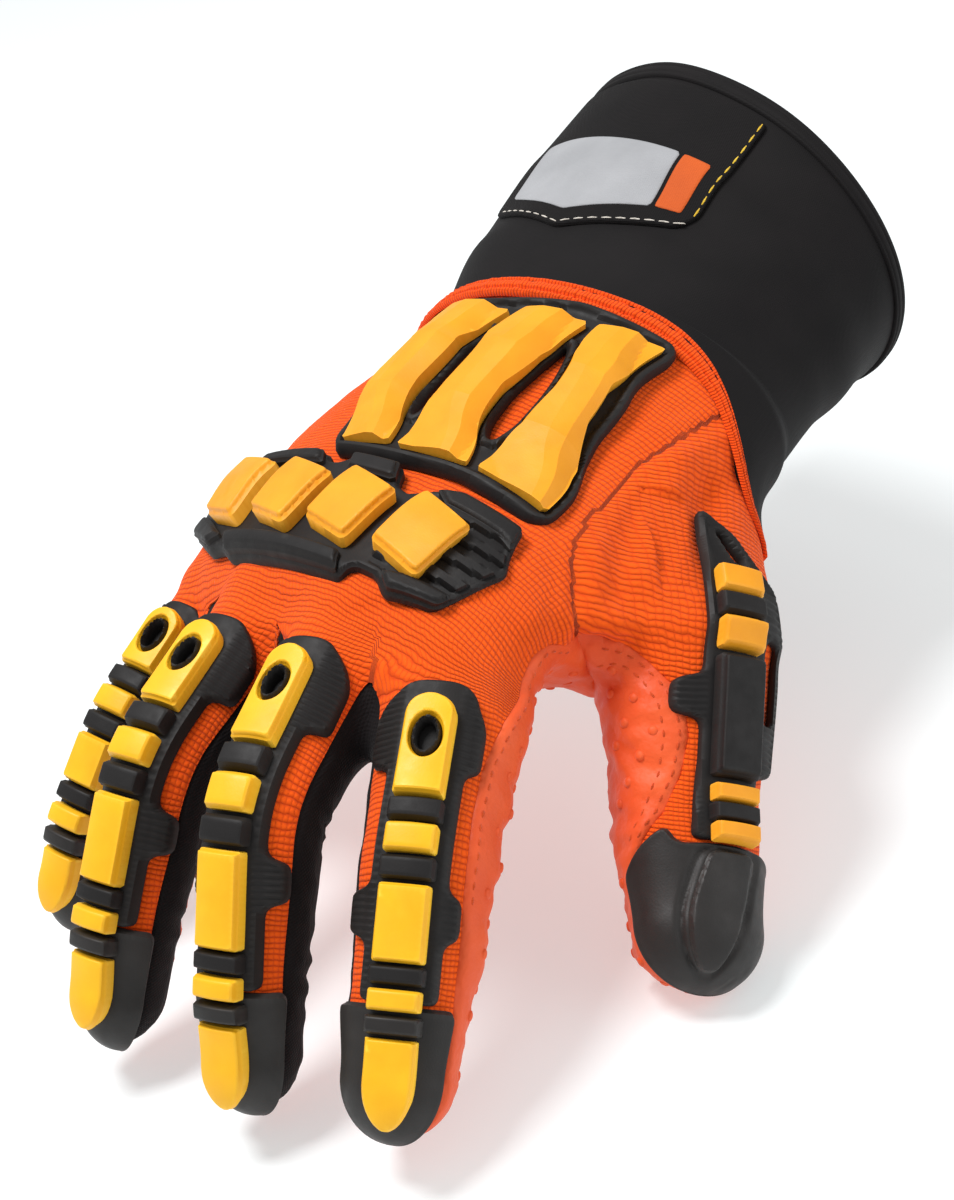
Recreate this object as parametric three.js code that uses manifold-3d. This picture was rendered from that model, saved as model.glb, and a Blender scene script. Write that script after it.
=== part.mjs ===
// Impact glove for a right hand, in the form that it has when worn, hollow and open at the cuff.
// Millimetres and degrees. +Z is up, the fingers point along -Y and the thumb lies on the +X side.
// The origin is the middle of the wrist, where a wearer's wrist goes in.
import * as THREE from 'three';
import { mergeVertices } from 'three/addons/utils/BufferGeometryUtils.js';
import { ConvexGeometry } from 'three/addons/geometries/ConvexGeometry.js';
import { TessellateModifier } from 'three/addons/modifiers/TessellateModifier.js';
import Module from 'manifold-3d';

const wasm = await Module();
wasm.setup();

// Walls, layers and clearances
const GAP = 0.3;
const WALL = 2.0;
const CUFF_WALL = 3.0;
const SEAT = 0.8;
const BASE_TOP = 2.2;
const PAD_LOW = 2.75;
const PAD_TOP = 5.6;
const BAND_TOP = 5.3;
const CAP_WALL = 1.4;
const HEM_LOW = 0.75;
const HEM_TOP = 2;
const LABEL_LOW = 0.9;
const LABEL_TOP = 1.7;
const LABEL_FACE = [2.3, 2.9];

// How the hand is held: the palm's pitch and roll against the ground
const PALM_PITCH = 7.9;
const PALM_ROLL = 6.9;

// Facets round each section
const DIGIT_SIDES = 12;
const INNER_SIDES = 8;
const PALM_SIDES = 24;

// Digits. knuckle is the middle of the root joint. spread turns towards the thumb, twist rolls the back
// of the digit towards the thumb. bones and bends run from the root joint to the tip. half_width,
// back and belly are half sizes at the root joint, the second joint, the last joint and the tip's start.
const DIGITS = {
  index: {
    knuckle: [22.9, -98.4, 4.1], pitch: 0, spread: 21.4, twist: 5.3, bones: [46.5, 27.2, 25],
    bends: [18, 18, 2.4], half_width: [15, 12.6, 11.6, 10.2], back: [13.2, 11.2, 10, 8.6],
    belly: [14.5, 12, 10.8, 9.4], root: -26,
  },
  middle: {
    knuckle: [-0.5, -98.3, 3.3], pitch: 0, spread: 7.4, twist: -7.4, bones: [49.4, 31.4, 26],
    bends: [8.3, 39.2, 7.6], half_width: [13.2, 11.4, 10.5, 9.2], back: [13.2, 11.2, 9.8, 8.2],
    belly: [14.5, 11.8, 10.4, 9.2], root: -26,
  },
  ring: {
    knuckle: [-25.2, -94.6, -3.6], pitch: 0, spread: -1.2, twist: -6.2, bones: [46.2, 30.4, 26.5],
    bends: [8.7, 34.1, 7.9], half_width: [13.2, 11, 9.8, 8.6], back: [12.8, 10.6, 9.2, 7.8],
    belly: [14, 11.4, 10, 8.8], root: -26,
  },
  little: {
    knuckle: [-51, -83.7, -17.6], pitch: 0, spread: -5.8, twist: -0.4, bones: [36.9, 23.5, 24],
    bends: [15.5, 20.7, 11.8], half_width: [12.2, 9.8, 8.8, 7.8], back: [11.8, 9.4, 8.4, 7],
    belly: [13, 10.4, 9.2, 8.2], root: -22,
  },
  thumb: {
    knuckle: [51.9, -63.1, -18.3], pitch: 13.6, spread: 36.9, twist: 32.9, bones: [38.6, 32.6],
    bends: [19.5, -8.6], half_width: [18.6, 15, 12.4], back: [15.6, 12.6, 10.6],
    belly: [17.5, 14.4, 12], root: -44,
  },
};
const JOINT_ROUNDING = 9;
const TIP_LENGTH = 11;
const ROOT_TAPER = -6;

// Palm sections from the wrist seam to the webs. y, x and z place the middle of a section, yaw and
// roll turn it, half_width, back and belly are its half sizes.
const PALM = [
  { y: -9, x: 3.2, z: -1, yaw: 0, roll: 0, half_width: 47, back: 28.5, belly: 29 },
  { y: -30, x: -0.5, z: -1.5, yaw: -2, roll: 4, half_width: 49.5, back: 26.5, belly: 26.5 },
  { y: -58, x: -9, z: -4, yaw: -6, roll: 10, half_width: 52.5, back: 24, belly: 23 },
  { y: -82, x: -14, z: -6, yaw: -10, roll: 15, half_width: 54.5, back: 23.5, belly: 20 },
  { y: -98, x: -13.5, z: -7, yaw: -11, roll: 16, half_width: 51.5, back: 22.5, belly: 18 },
  { y: -110, x: -10.5, z: -8, yaw: -11, roll: 16, half_width: 41, back: 17, belly: 14 },
  { y: -117, x: -9, z: -9.5, yaw: -11, roll: 16, half_width: 30, back: 8, belly: 7 },
];

// The fabric stretched between the palm's edge, the thumb and the index finger: rounds that it lies
// over, as middles and radii, and the stations of the thumb and index sections that it lies over
const STRETCH_ROUNDS = [
  { at: [28, -22, -3], radius: 17 },
  { at: [30, -48, 0], radius: 15 },
  { at: [27, -72, 2], radius: 14 },
];
const STRETCH_THUMB = [-36, -18, 1];
const STRETCH_INDEX = -1;

// Gauntlet cuff sections from the wrist seam to the slanted mouth
const CUFF = [
  { y: -8.7, x: 3.2, z: -1, yaw: 0, roll: 0, half_width: 47, back: 28.5, belly: 29 },
  { y: 12, x: 1, z: 0, yaw: -4, roll: 0, half_width: 50, back: 31, belly: 31 },
  { y: 34, x: 1, z: 1, yaw: -10, roll: 0, half_width: 52, back: 35.5, belly: 35.5 },
  { y: 61, x: 2.5, z: 2, yaw: -18, roll: 0, half_width: 53.5, back: 39.5, belly: 40 },
];
const BINDING_WIDTH = 5;
const BINDING = 1;
const HEM = [-14.6, -6.6];

// Soft dents of the fabric: where along a section's path, the turn from the back in degrees, depth in
// millimetres, and how far each dent spreads along and round
const PALM_DENTS = [
  { along: -44, turn: 62, depth: 2.2, length: 16, spread: 22 },
  { along: -27, turn: 150, depth: 2.5, length: 8, spread: 40 },
  { along: -92, turn: -28, depth: 0.9, length: 8, spread: 14 },
  { along: -28, turn: -80, depth: 1.6, length: 8, spread: 35 },
];
const CUFF_DENTS = [
  { along: 6, turn: 70, depth: 1.8, length: 12, spread: 28 },
  { along: 26, turn: 20, depth: 1.2, length: 14, spread: 26 },
  { along: 30, turn: -120, depth: 2.4, length: 18, spread: 30 },
  { along: 22, turn: 170, depth: 2.6, length: 18, spread: 30 },
];

const rad = THREE.MathUtils.degToRad;
const axisX = new THREE.Vector3(1, 0, 0);
const axisY = new THREE.Vector3(0, 1, 0);
const axisZ = new THREE.Vector3(0, 0, 1);

// The value of a list of sizes at a share along its stations, eased between them.
function sizeAt(stations, sizes, s) {
  if (s <= stations[0]) return sizes[0];
  for (let i = 1; i < stations.length; i++) {
    if (s <= stations[i]) {
      const share = THREE.MathUtils.smoothstep(s, stations[i - 1], stations[i]);
      return THREE.MathUtils.lerp(sizes[i - 1], sizes[i], share);
    }
  }
  return sizes[sizes.length - 1];
}

// A digit's joints as distances from its root joint, and its frame at any distance.
function makeDigit(spec) {
  const joints = [0];
  for (const bone of spec.bones) joints.push(joints[joints.length - 1] + bone);
  const tip = joints.pop();
  const tipStart = tip - TIP_LENGTH;
  const start = new THREE.Quaternion()
    .setFromAxisAngle(axisZ, rad(spec.spread))
    .multiply(new THREE.Quaternion().setFromAxisAngle(axisX, rad(spec.pitch)))
    .multiply(new THREE.Quaternion().setFromAxisAngle(axisY, rad(spec.twist)));
  const bendAt = (s) => joints.reduce((sum, joint, i) => {
    const share = THREE.MathUtils.smoothstep(s, joint - JOINT_ROUNDING, joint + JOINT_ROUNDING);
    return sum + spec.bends[i] * share;
  }, 0);
  const turnAt = (s) => start.clone().multiply(
    new THREE.Quaternion().setFromAxisAngle(axisX, rad(bendAt(s))));
  const headingAt = (s) => new THREE.Vector3(0, -1, 0).applyQuaternion(turnAt(s));
  const places = new Map([[0, new THREE.Vector3(...spec.knuckle)]]);
  for (let s = 0; s > spec.root - 1; s--) {
    places.set(s - 1, places.get(s).clone().sub(headingAt(s - 0.5)));
  }
  for (let s = 0; s < tip + 1; s++) {
    places.set(s + 1, places.get(s).clone().add(headingAt(s + 0.5)));
  }
  const placeAt = (s) => {
    const below = Math.floor(s);
    return places.get(below).clone().lerp(places.get(below + 1), s - below);
  };
  const stations = [...joints, tipStart];
  // A point at distance s along the digit, turned round it from its back, h outside the surface.
  // Past the tip's start the surface closes like the end of an egg.
  const point = (s, around, h) => {
    const inTip = Math.max(0, (s - tipStart) / TIP_LENGTH);
    const closing = Math.min(1, inTip) * Math.PI / 2;
    const along = s <= tipStart ? s : tipStart + (TIP_LENGTH + h) * Math.sin(closing);
    const inRoot = Math.min(1, Math.max(0, (ROOT_TAPER - s) / (ROOT_TAPER - spec.root)));
    const shrink = Math.cos(closing) * (1 - 0.4 * inRoot * inRoot);
    const turn = turnAt(Math.min(along, tip));
    const side = (sizeAt(stations, spec.half_width, along) + h) * shrink;
    const up = (sizeAt(stations, Math.cos(around) > 0 ? spec.back : spec.belly, along) + h) * shrink;
    const place = along <= tip ? placeAt(along)
      : placeAt(tip).addScaledVector(headingAt(tip), along - tip);
    return place
      .addScaledVector(axisX.clone().applyQuaternion(turn), side * Math.sin(around))
      .addScaledVector(axisZ.clone().applyQuaternion(turn), up * Math.cos(around));
  };
  const radiusAt = (s) => (sizeAt(stations, spec.half_width, s) + sizeAt(stations, spec.back, s)) / 2;
  return { ...spec, joints, tip, tipStart, point, radiusAt };
}

// How deep the dents press the surface in at a place.
function dentAt(dents, along, around) {
  let depth = 0;
  for (const dent of dents) {
    const off = Math.atan2(Math.sin(around - rad(dent.turn)), Math.cos(around - rad(dent.turn)));
    const far = ((along - dent.along) / dent.length) ** 2 + (off / rad(dent.spread)) ** 2;
    depth += dent.depth * Math.exp(-far);
  }
  return depth;
}

// A tube of sections such as the palm's: a point at a y, turned round from the back, h outside it.
function makeTube(rows, dents) {
  const stations = rows.map((row) => -row.y);
  const upward = stations[0] < stations[stations.length - 1] ? 1 : -1;
  const sorted = upward > 0 ? rows : [...rows].reverse();
  const ys = sorted.map((row) => -row.y);
  const at = (y, key) => sizeAt(ys, sorted.map((row) => row[key]), -y);
  const point = (y, around, h) => {
    const turn = new THREE.Quaternion()
      .setFromAxisAngle(axisZ, rad(at(y, 'yaw')))
      .multiply(new THREE.Quaternion().setFromAxisAngle(axisY, rad(-at(y, 'roll'))));
    const out = h - dentAt(dents, y, around);
    const side = (at(y, 'half_width') + out) * Math.sin(around);
    const up = ((Math.cos(around) > 0 ? at(y, 'back') : at(y, 'belly')) + out) * Math.cos(around);
    return new THREE.Vector3(at(y, 'x'), y, at(y, 'z'))
      .addScaledVector(axisX.clone().applyQuaternion(turn), side)
      .addScaledVector(axisZ.clone().applyQuaternion(turn), up);
  };
  // The angle round the section that lies an arc's length from the middle of its back.
  const angleOf = (y, arc) => {
    const STEPS = 48;
    const way = arc < 0 ? -1 : 1;
    let travelled = 0;
    let before = point(y, 0, 0);
    for (let i = 1; i <= STEPS; i++) {
      const around = way * Math.PI * i / STEPS;
      const here = point(y, around, 0);
      const step = here.distanceTo(before);
      if (travelled + step >= Math.abs(arc)) {
        return around - way * Math.PI / STEPS * (1 - (Math.abs(arc) - travelled) / step);
      }
      travelled += step;
      before = here;
    }
    return way * Math.PI;
  };
  return { point, angleOf, ys: rows.map((row) => row.y) };
}

// A closed solid from a grid of rings, each closed on itself, with both ends closed by fans.
function loftSolid(rings) {
  const count = rings[0].length;
  const positions = rings.flat();
  const faces = [];
  for (let r = 0; r < rings.length - 1; r++) {
    for (let i = 0; i < count; i++) {
      const a = r * count + i;
      const b = r * count + (i + 1) % count;
      faces.push(a, b, b + count, a, b + count, a + count);
    }
  }
  const close = (r, flip) => {
    const middle = new THREE.Vector3();
    for (const p of rings[r]) middle.addScaledVector(p, 1 / count);
    positions.push(middle);
    const m = positions.length - 1;
    for (let i = 0; i < count; i++) {
      const a = r * count + i;
      const b = r * count + (i + 1) % count;
      faces.push(...(flip ? [m, b, a] : [m, a, b]));
    }
  };
  close(0, true);
  close(rings.length - 1, false);
  return solidFrom(positions, faces);
}

// A manifold solid from points and triangles, turned to face out.
function solidFrom(positions, faces) {
  const build = (tris) => {
    const geometry = new THREE.BufferGeometry().setFromPoints(positions).setIndex(tris);
    const merged = mergeVertices(geometry, 1e-4);
    const kept = [];
    const index = merged.index.array;
    for (let i = 0; i < index.length; i += 3) {
      const [a, b, c] = [index[i], index[i + 1], index[i + 2]];
      if (a !== b && b !== c && c !== a) kept.push(a, b, c);
    }
    return new wasm.Manifold(new wasm.Mesh({
      numProp: 3,
      vertProperties: new Float32Array(merged.attributes.position.array),
      triVerts: new Uint32Array(kept),
    }));
  };
  const solid = build(faces);
  if (solid.volume() > 0) return solid;
  const turned = [];
  for (let i = 0; i < faces.length; i += 3) turned.push(faces[i], faces[i + 2], faces[i + 1]);
  return build(turned);
}

const unite = (solids) => solids.reduce((sum, solid) => sum.add(solid));
const ringAngles = (sides) => Array.from({ length: sides }, (_, i) => (2 * Math.PI * i) / sides);
const steps = (from, to, count) => (
  Array.from({ length: count + 1 }, (_, i) => from + (to - from) * i / count));

// A whole loft of a surface between stations, h outside it.
function fullLoft(surface, stations, sides, h) {
  return loftSolid(stations.map((s) => ringAngles(sides).map((around) => surface.point(s, around, h))));
}

// The wedge of a surface's inside between two angles, from its middle out to h past the surface.
// spare widens it by that much on each side and outside.
function wedgeLoft(surface, stations, from, to, h, count, spare, radius) {
  const turn = spare / radius;
  const angles = steps(from, to, count);
  if (spare) angles.push(to + turn);
  if (spare) angles.unshift(from - turn);
  const middleOf = (s) => surface.point(s, 0, 0).add(surface.point(s, Math.PI, 0)).multiplyScalar(0.5);
  return loftSolid(stations.map((s) => {
    const wide = Math.min(s, surface.tipStart ?? s);
    const away = middleOf(wide).sub(surface.point(wide, (from + to) / 2, 0)).normalize();
    const near = middleOf(s).addScaledVector(away, spare);
    return [near, ...angles.map((around) => surface.point(s, around, h + spare))];
  }));
}

// A sheet between two heights over a surface, from angle to angle, or right round it as a ring.
function sheetSolid(surface, stations, angles, low, high, ring = false) {
  const wide = angles.length;
  const layer = (h) => stations.map((s) => angles.map((around) => surface.point(s, around, h)));
  const grid = [layer(high), layer(low)];
  const positions = grid.flat(2);
  const at = (layer, r, i) => (layer * stations.length + r) * wide + (i % wide);
  const faces = [];
  const quad = (a, b, c, d) => faces.push(a, b, c, a, c, d);
  const across = ring ? wide : wide - 1;
  for (let i = 0; i < across; i++) {
    for (let r = 0; r < stations.length - 1; r++) {
      quad(at(0, r, i), at(0, r, i + 1), at(0, r + 1, i + 1), at(0, r + 1, i));
      quad(at(1, r, i), at(1, r + 1, i), at(1, r + 1, i + 1), at(1, r, i + 1));
    }
    quad(at(0, 0, i + 1), at(0, 0, i), at(1, 0, i), at(1, 0, i + 1));
    const end = stations.length - 1;
    quad(at(0, end, i), at(0, end, i + 1), at(1, end, i + 1), at(1, end, i));
  }
  if (!ring) {
    for (let r = 0; r < stations.length - 1; r++) {
      quad(at(0, r, 0), at(0, r + 1, 0), at(1, r + 1, 0), at(1, r, 0));
      quad(at(0, r + 1, wide - 1), at(0, r, wide - 1), at(1, r, wide - 1), at(1, r + 1, wide - 1));
    }
  }
  return solidFrom(positions, faces);
}

// The stations that a digit's bends and tip need, with a spare length at each end.
function digitStations(digit, from, to, spare = 0) {
  const wanted = [digit.root, digit.root / 2, 2];
  for (const joint of digit.joints.slice(1)) {
    wanted.push(joint - JOINT_ROUNDING * 0.55, joint + JOINT_ROUNDING * 0.55);
  }
  wanted.push(digit.tipStart);
  for (const share of [0.42, 0.76, 1]) wanted.push(digit.tipStart + TIP_LENGTH * share);
  const inside = wanted.filter((s) => s > from + 1 && s < to - 0.5);
  const ends = spare ? [from - spare, to + spare] : [];
  return [from, ...inside, to, ...ends].sort((a, b) => a - b);
}

// The body of the stretched fabric, h outside its outline.
function stretchSolid(h) {
  const points = [];
  for (const { at, radius } of STRETCH_ROUNDS) {
    const ball = new THREE.IcosahedronGeometry(radius + h, 1).attributes.position;
    for (let i = 0; i < ball.count; i++) {
      points.push(new THREE.Vector3().fromBufferAttribute(ball, i).add(new THREE.Vector3(...at)));
    }
  }
  const angles = ringAngles(DIGIT_SIDES);
  for (const s of STRETCH_THUMB) points.push(...angles.map((around) => digits.thumb.point(s, around, h)));
  points.push(...angles.map((around) => digits.index.point(STRETCH_INDEX, around, h - 1)));
  const hull = new ConvexGeometry(points).attributes.position;
  const corner = (_, i) => new THREE.Vector3().fromBufferAttribute(hull, i);
  const positions = Array.from({ length: hull.count }, corner);
  return solidFrom(positions, positions.map((_, i) => i));
}

// A solid that lies on a surface: an outline of [across, along] points, with holes, between two heights.
// Its top is narrowed to a share of its width. Its faces are split to an edge's length across, and to
// that length over grain along.
function patch(place, outline, low, high, options = {}) {
  const { holes = [], edge = 12, grain = 1, narrow = 1 } = options;
  const shape = new THREE.Shape(outline.map(([across, along]) => new THREE.Vector2(across, along * grain)));
  const block = new THREE.ExtrudeGeometry(shape, { depth: 1, bevelEnabled: false });
  const fine = new TessellateModifier(edge, 24).modify(block);
  const box = new THREE.Box2().setFromPoints(shape.getPoints());
  const middle = box.getCenter(new THREE.Vector2());
  const flat = fine.attributes.position;
  const positions = [];
  const faces = [];
  const known = new Map();
  for (let i = 0; i < flat.count; i++) {
    const spot = [flat.getX(i), flat.getY(i) / grain, flat.getZ(i)];
    const key = spot.map((value) => Math.round(value * 531.7 + 0.21)).join();
    if (!known.has(key)) {
      known.set(key, positions.length);
      const top = spot[2];
      const share = 1 - (1 - narrow) * top;
      const across = middle.x + (spot[0] - middle.x) * share;
      const centre = middle.y / grain;
      const along = centre + (spot[1] - centre) * (1 - (1 - share) * 0.5);
      positions.push(place(across, along, low + (high - low) * top));
    }
    faces.push(known.get(key));
  }
  const cutters = holes.map((hole) => patch(place, hole, low - 1, high + 1, { edge, grain }));
  return cutters.reduce((solid, cutter) => solid.subtract(cutter), solidFrom(positions, faces));
}

// An outline from rows of [along, width to the right, width to the left].
function strip(rows) {
  const right = rows.map(([along, wide]) => [wide, along]);
  const left = rows.map(([along, wide, other]) => [-(other ?? wide), along]).reverse();
  return [...right, ...left];
}

// A strip with a round start or end.
function roundedStrip(from, to, wide, roundStart, roundEnd) {
  const rows = [];
  const ease = [0, 0.5, 1];
  const start = ease.map((t) => [from + wide * 0.8 * (1 - Math.cos(t * Math.PI / 2)),
    wide * (0.3 + 0.7 * Math.sin(t * Math.PI / 2))]);
  const end = ease.map((t) => [to - wide * 0.8 * (1 - Math.cos(t * Math.PI / 2)),
    wide * (0.3 + 0.7 * Math.sin(t * Math.PI / 2))]);
  rows.push(...(roundStart ? start : [[from, wide]]));
  rows.push(...(roundEnd ? end.reverse() : [[to, wide]]));
  return strip(rows);
}

function ellipse(across, along, wide, long) {
  return ringAngles(8).map((a) => [across + wide * Math.sin(a), along + long * Math.cos(a)]);
}

const digits = Object.fromEntries(
  Object.entries(DIGITS).map(([name, spec]) => [name, makeDigit(spec)]));
const palm = makeTube(PALM, PALM_DENTS);
const cuffTube = makeTube(CUFF, CUFF_DENTS);
const onPalm = (arc, y, h) => palm.point(y, palm.angleOf(y, arc), h);
const onCuff = (arc, y, h) => cuffTube.point(y, cuffTube.angleOf(y, arc), h);
const onDigit = (digit) => (across, along, h) => (
  digit.point(along, across / (digit.radiusAt(along) + h), h));

const glove = new THREE.Group();
glove.name = 'impact_glove';
const rowTurn = new THREE.Quaternion().setFromAxisAngle(axisY, rad(PALM_ROLL))
  .multiply(new THREE.Quaternion().setFromAxisAngle(axisX, rad(PALM_PITCH)));

function addNode(name, solid, material) {
  const mesh = solid.getMesh();
  const geometry = new THREE.BufferGeometry();
  geometry.setAttribute('position', new THREE.BufferAttribute(new Float32Array(mesh.vertProperties), 3));
  geometry.setIndex(new THREE.BufferAttribute(new Uint32Array(mesh.triVerts), 1));
  geometry.applyQuaternion(rowTurn);
  geometry.computeVertexNormals();
  const node = new THREE.Mesh(geometry, material);
  node.name = name;
  glove.add(node);
}
const largest = (solid) => solid.decompose().sort((a, b) => b.volume() - a.volume())[0];
const paint = (color, roughness) => new THREE.MeshStandardMaterial({ color, roughness, metalness: 0 });
const knit = paint(0xf4511e, 0.9);
const leather = paint(0xf2602c, 0.7);
const lining = paint(0x1c1718, 0.9);
const neoprene = paint(0x262223, 0.6);
const blackRubber = paint(0x2b2a29, 0.6);
const greyRubber = paint(0x3c3b3b, 0.5);
const yellowRubber = paint(0xffb81e, 0.5);
const labelGrey = paint(0xb5b5b5, 0.6);

// The hollow hand
const palmRows = [-9, -30, -44, -58, -82, -98, -110, -117];
const hand = (h, rows, palmSides, digitSides) => unite([
  fullLoft(palm, rows, palmSides, h),
  stretchSolid(h),
  ...Object.values(digits).map((d) => fullLoft(d, digitStations(d, d.root, d.tip), digitSides, h)),
]);
const shell = hand(0, palmRows, PALM_SIDES, DIGIT_SIDES)
  .subtract(hand(-WALL, [-4, ...palmRows], PALM_SIDES / 2, INNER_SIDES));

// Where the leather lies on each digit, as turns from the back, and where the dark sides lie
const LEATHER = {
  index: [62, 242], middle: [118, 242], ring: [118, 242], little: [118, 252], thumb: [98, 300],
};
const SIDES = {
  index: [[-116, -64]], middle: [[64, 116], [-116, -64]], ring: [[64, 116], [-116, -64]],
  little: [[64, 116]], thumb: [],
};
const OUT = 2.5;

// Where the backs of the two longest fingers join the back of the hand
const FINGER_SEAM = 3;

// The seam between the hand and the thumb's panels as [x, y], from the wrist to past the web
const THUMB_SEAM = [[49, 8], [45, -16], [40, -34], [36, -48], [35.5, -66], [36.5, -74], [41, -83],
  [47, -92], [55, -105], [66, -130], [75, -150]];
const underStretch = (spare) => stretchSolid(OUT + spare).trimByPlane([-0.34, 0.1, -0.93], 3.2 - spare);
const leatherTool = (spare) => unite([
  underStretch(spare),
  wedgeLoft(palm, [-3, ...palmRows.slice(1, -1), -117.5], rad(100), rad(262), OUT, 8, spare, 40),
  ...Object.entries(digits).map(([name, d]) => {
    const [from, to] = LEATHER[name].map(rad);
    return wedgeLoft(d, digitStations(d, name === 'thumb' ? -34 : -4, d.tip), from, to, OUT, 4, spare, 12);
  }),
]);
const sideTool = (name, side, spare) => {
  const d = digits[name];
  const end = d.joints[d.joints.length - 1] + 12;
  return wedgeLoft(d, digitStations(d, 9, end, spare), rad(side[0]), rad(side[1]), OUT, 2, spare, 12);
};
// The thumb's side of the seam, wider by spare
const thumbSide = (spare) => {
  const outline = [[128, 8], ...THUMB_SEAM.map(([x, y]) => [x - spare, y]), [128, -150]];
  return wasm.Manifold.extrude(new wasm.CrossSection([outline], 'NonZero'), 180).translate([0, 0, -110]);
};
const allLeather = shell.intersect(leatherTool(0));
addNode('palm_panel', largest(allLeather.subtract(thumbSide(GAP))), leather);
addNode('thumb_leather', largest(allLeather.intersect(thumbSide(0))), leather);
const knitAndSides = shell.subtract(leatherTool(GAP * 1.3));
addNode('thumb_panel', largest(knitAndSides.intersect(thumbSide(0))), knit);
const rest = knitAndSides.subtract(thumbSide(GAP));
const pairs = [['index', 'middle'], ['middle', 'ring'], ['ring', 'little']];
for (const [a, b] of pairs) {
  const facing = unite([
    sideTool(a, SIDES[a][SIDES[a].length - 1], 0),
    sideTool(b, SIDES[b][0], 0),
  ]);
  addNode(`fourchette_${a}_${b}`, largest(rest.intersect(facing)), lining);
}
const allSides = unite(Object.entries(SIDES).flatMap(([name, sides]) => (
  sides.map((side) => sideTool(name, side, GAP * 1.3)))));
const backs = rest.subtract(allSides);
const fingerTool = (name, spare) => {
  const d = digits[name];
  return fullLoft(d, digitStations(d, FINGER_SEAM - spare, d.tip), DIGIT_SIDES, 0.6 + spare);
};
const SEWN_FINGERS = ['index', 'middle'];
for (const name of SEWN_FINGERS) {
  addNode(`${name}_back`, largest(backs.intersect(fingerTool(name, 0))), knit);
}
const sewn = unite(SEWN_FINGERS.map((name) => fingerTool(name, GAP)));
addNode('back_panel', largest(backs.subtract(sewn)), knit);

// The gauntlet cuff, its bound edge and the wrist hem
const cuffRows = [-8.7, 12, 34, 48, 61];
const round = ringAngles(PALM_SIDES);
addNode('gauntlet_cuff', sheetSolid(cuffTube, cuffRows, round, -CUFF_WALL, 0, true), neoprene);
const mouth = CUFF[CUFF.length - 1].y;
const binding = sheetSolid(cuffTube, [mouth - BINDING_WIDTH, mouth], round, GAP, GAP + BINDING, true);
addNode('cuff_binding', binding, neoprene);
addNode('wrist_hem', sheetSolid(palm, [HEM[0], -9, HEM[1]], round, HEM_LOW, HEM_TOP, true), knit);

// The label on the cuff, left blank
const LABEL = [[19, 54], [16, 21], [13, 16], [-16, 8], [-44, 18], [-46, 54]];
const LABEL_PANEL = [[4.5, 35], [4.5, 18.5], [-16, 13], [-38, 20], [-38, 35]];
const LABEL_STRIP = [[13, 35], [12, 19.5], [5.5, 18.8], [5.5, 35]];
addNode('cuff_label', patch(onCuff, LABEL, LABEL_LOW, LABEL_TOP), lining);
addNode('label_panel', patch(onCuff, LABEL_PANEL, ...LABEL_FACE, { edge: 10 }), labelGrey);
addNode('label_strip', patch(onCuff, LABEL_STRIP, ...LABEL_FACE, { edge: 10 }), knit);

// The guard over the back of the hand, as outlines of [arc from the middle of the back, y]
const BACK_SEAT = 0.7;
const BACK_BASE = 2.4;
const BACK_TOP = 6.6;
const BACK_FRAME = [[-25, -18], [-13, -18], [6, -15.5], [29, -17], [31.5, -20.5], [31, -32], [36.5, -45],
  [43.5, -56], [46.5, -68], [43.5, -70], [24.5, -68.5], [7.6, -69.5], [-11, -69.5], [-14, -66], [-20, -44]];
const BACK_WINDOWS = [
  [[12.2, -27.5], [14.5, -34], [19.4, -44], [22.6, -52], [22, -58], [18, -52.5], [13.3, -43], [11.6, -35]],
  [[-7.2, -27.5], [-5.5, -35], [-0.4, -46], [1.2, -57], [-4, -47.5], [-8.4, -36]],
];
const BACK_PLATES = [
  [[14.6, -22], [28.2, -20], [27.6, -36], [32.5, -45.5], [40.3, -54.5], [43.6, -67], [25.6, -65.6],
    [25.4, -53], [21.5, -42.5], [16.8, -33]],
  [[-2, -22.5], [11.8, -21.5], [10.6, -35], [12.6, -45], [17, -54.5], [23.2, -65.8], [5.6, -66.4], [4.2, -52],
    [0.6, -42], [-3, -33]],
  [[-21.5, -22], [-6, -22.8], [-9.6, -35], [-5.4, -48], [2.6, -66], [-10, -67], [-16, -48]],
];
const backGuard = patch(onPalm, BACK_FRAME, BACK_SEAT, BACK_BASE, { holes: BACK_WINDOWS });
addNode('back_guard', backGuard, blackRubber);
BACK_PLATES.forEach((outline, i) => {
  const plate = patch(onPalm, outline, BACK_BASE + GAP, BACK_TOP, { narrow: 0.84 });
  addNode(`back_plate_${i + 1}`, plate, yellowRubber);
});

// The guard over the knuckles, with four plain raised blocks
const KNUCKLE_SEAT = 1.1;
const KNUCKLE_BASE = 3.2;
const KNUCKLE_TOP = 7.4;
const KNUCKLE_FRAME = [[24.5, -74], [30, -72], [45.5, -72.2], [51.5, -82.5], [43, -97.5], [31.5, -100.5],
  [28, -97.5], [22, -97.5], [19, -101.5], [-19, -102], [-22, -100], [-28, -100.5], [-45, -92], [-45, -80],
  [-30, -71.2], [-9.5, -71], [-6.5, -73.5], [-3, -73.5], [-1, -71], [13, -71], [17, -76], [21.5, -77]];
const KNUCKLE_BLOCKS = [[31.5, -86.5], [13.2, -86.5], [-4.5, -86.8], [-24.5, -85]];
const BLOCK = [[-8, -6.5], [4.5, -9], [8, 6.5], [-5, 9]];
const knuckleGuard = patch(onPalm, KNUCKLE_FRAME, KNUCKLE_SEAT, KNUCKLE_BASE, { edge: 10 });
addNode('knuckle_guard', knuckleGuard, blackRubber);
KNUCKLE_BLOCKS.forEach(([arc, y], i) => {
  const outline = BLOCK.map(([across, along]) => [arc + across, y + along]);
  const block = patch(onPalm, outline, KNUCKLE_BASE + GAP, KNUCKLE_TOP, { narrow: 0.86 });
  addNode(`knuckle_block_${i + 1}`, block, yellowRubber);
});

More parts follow.
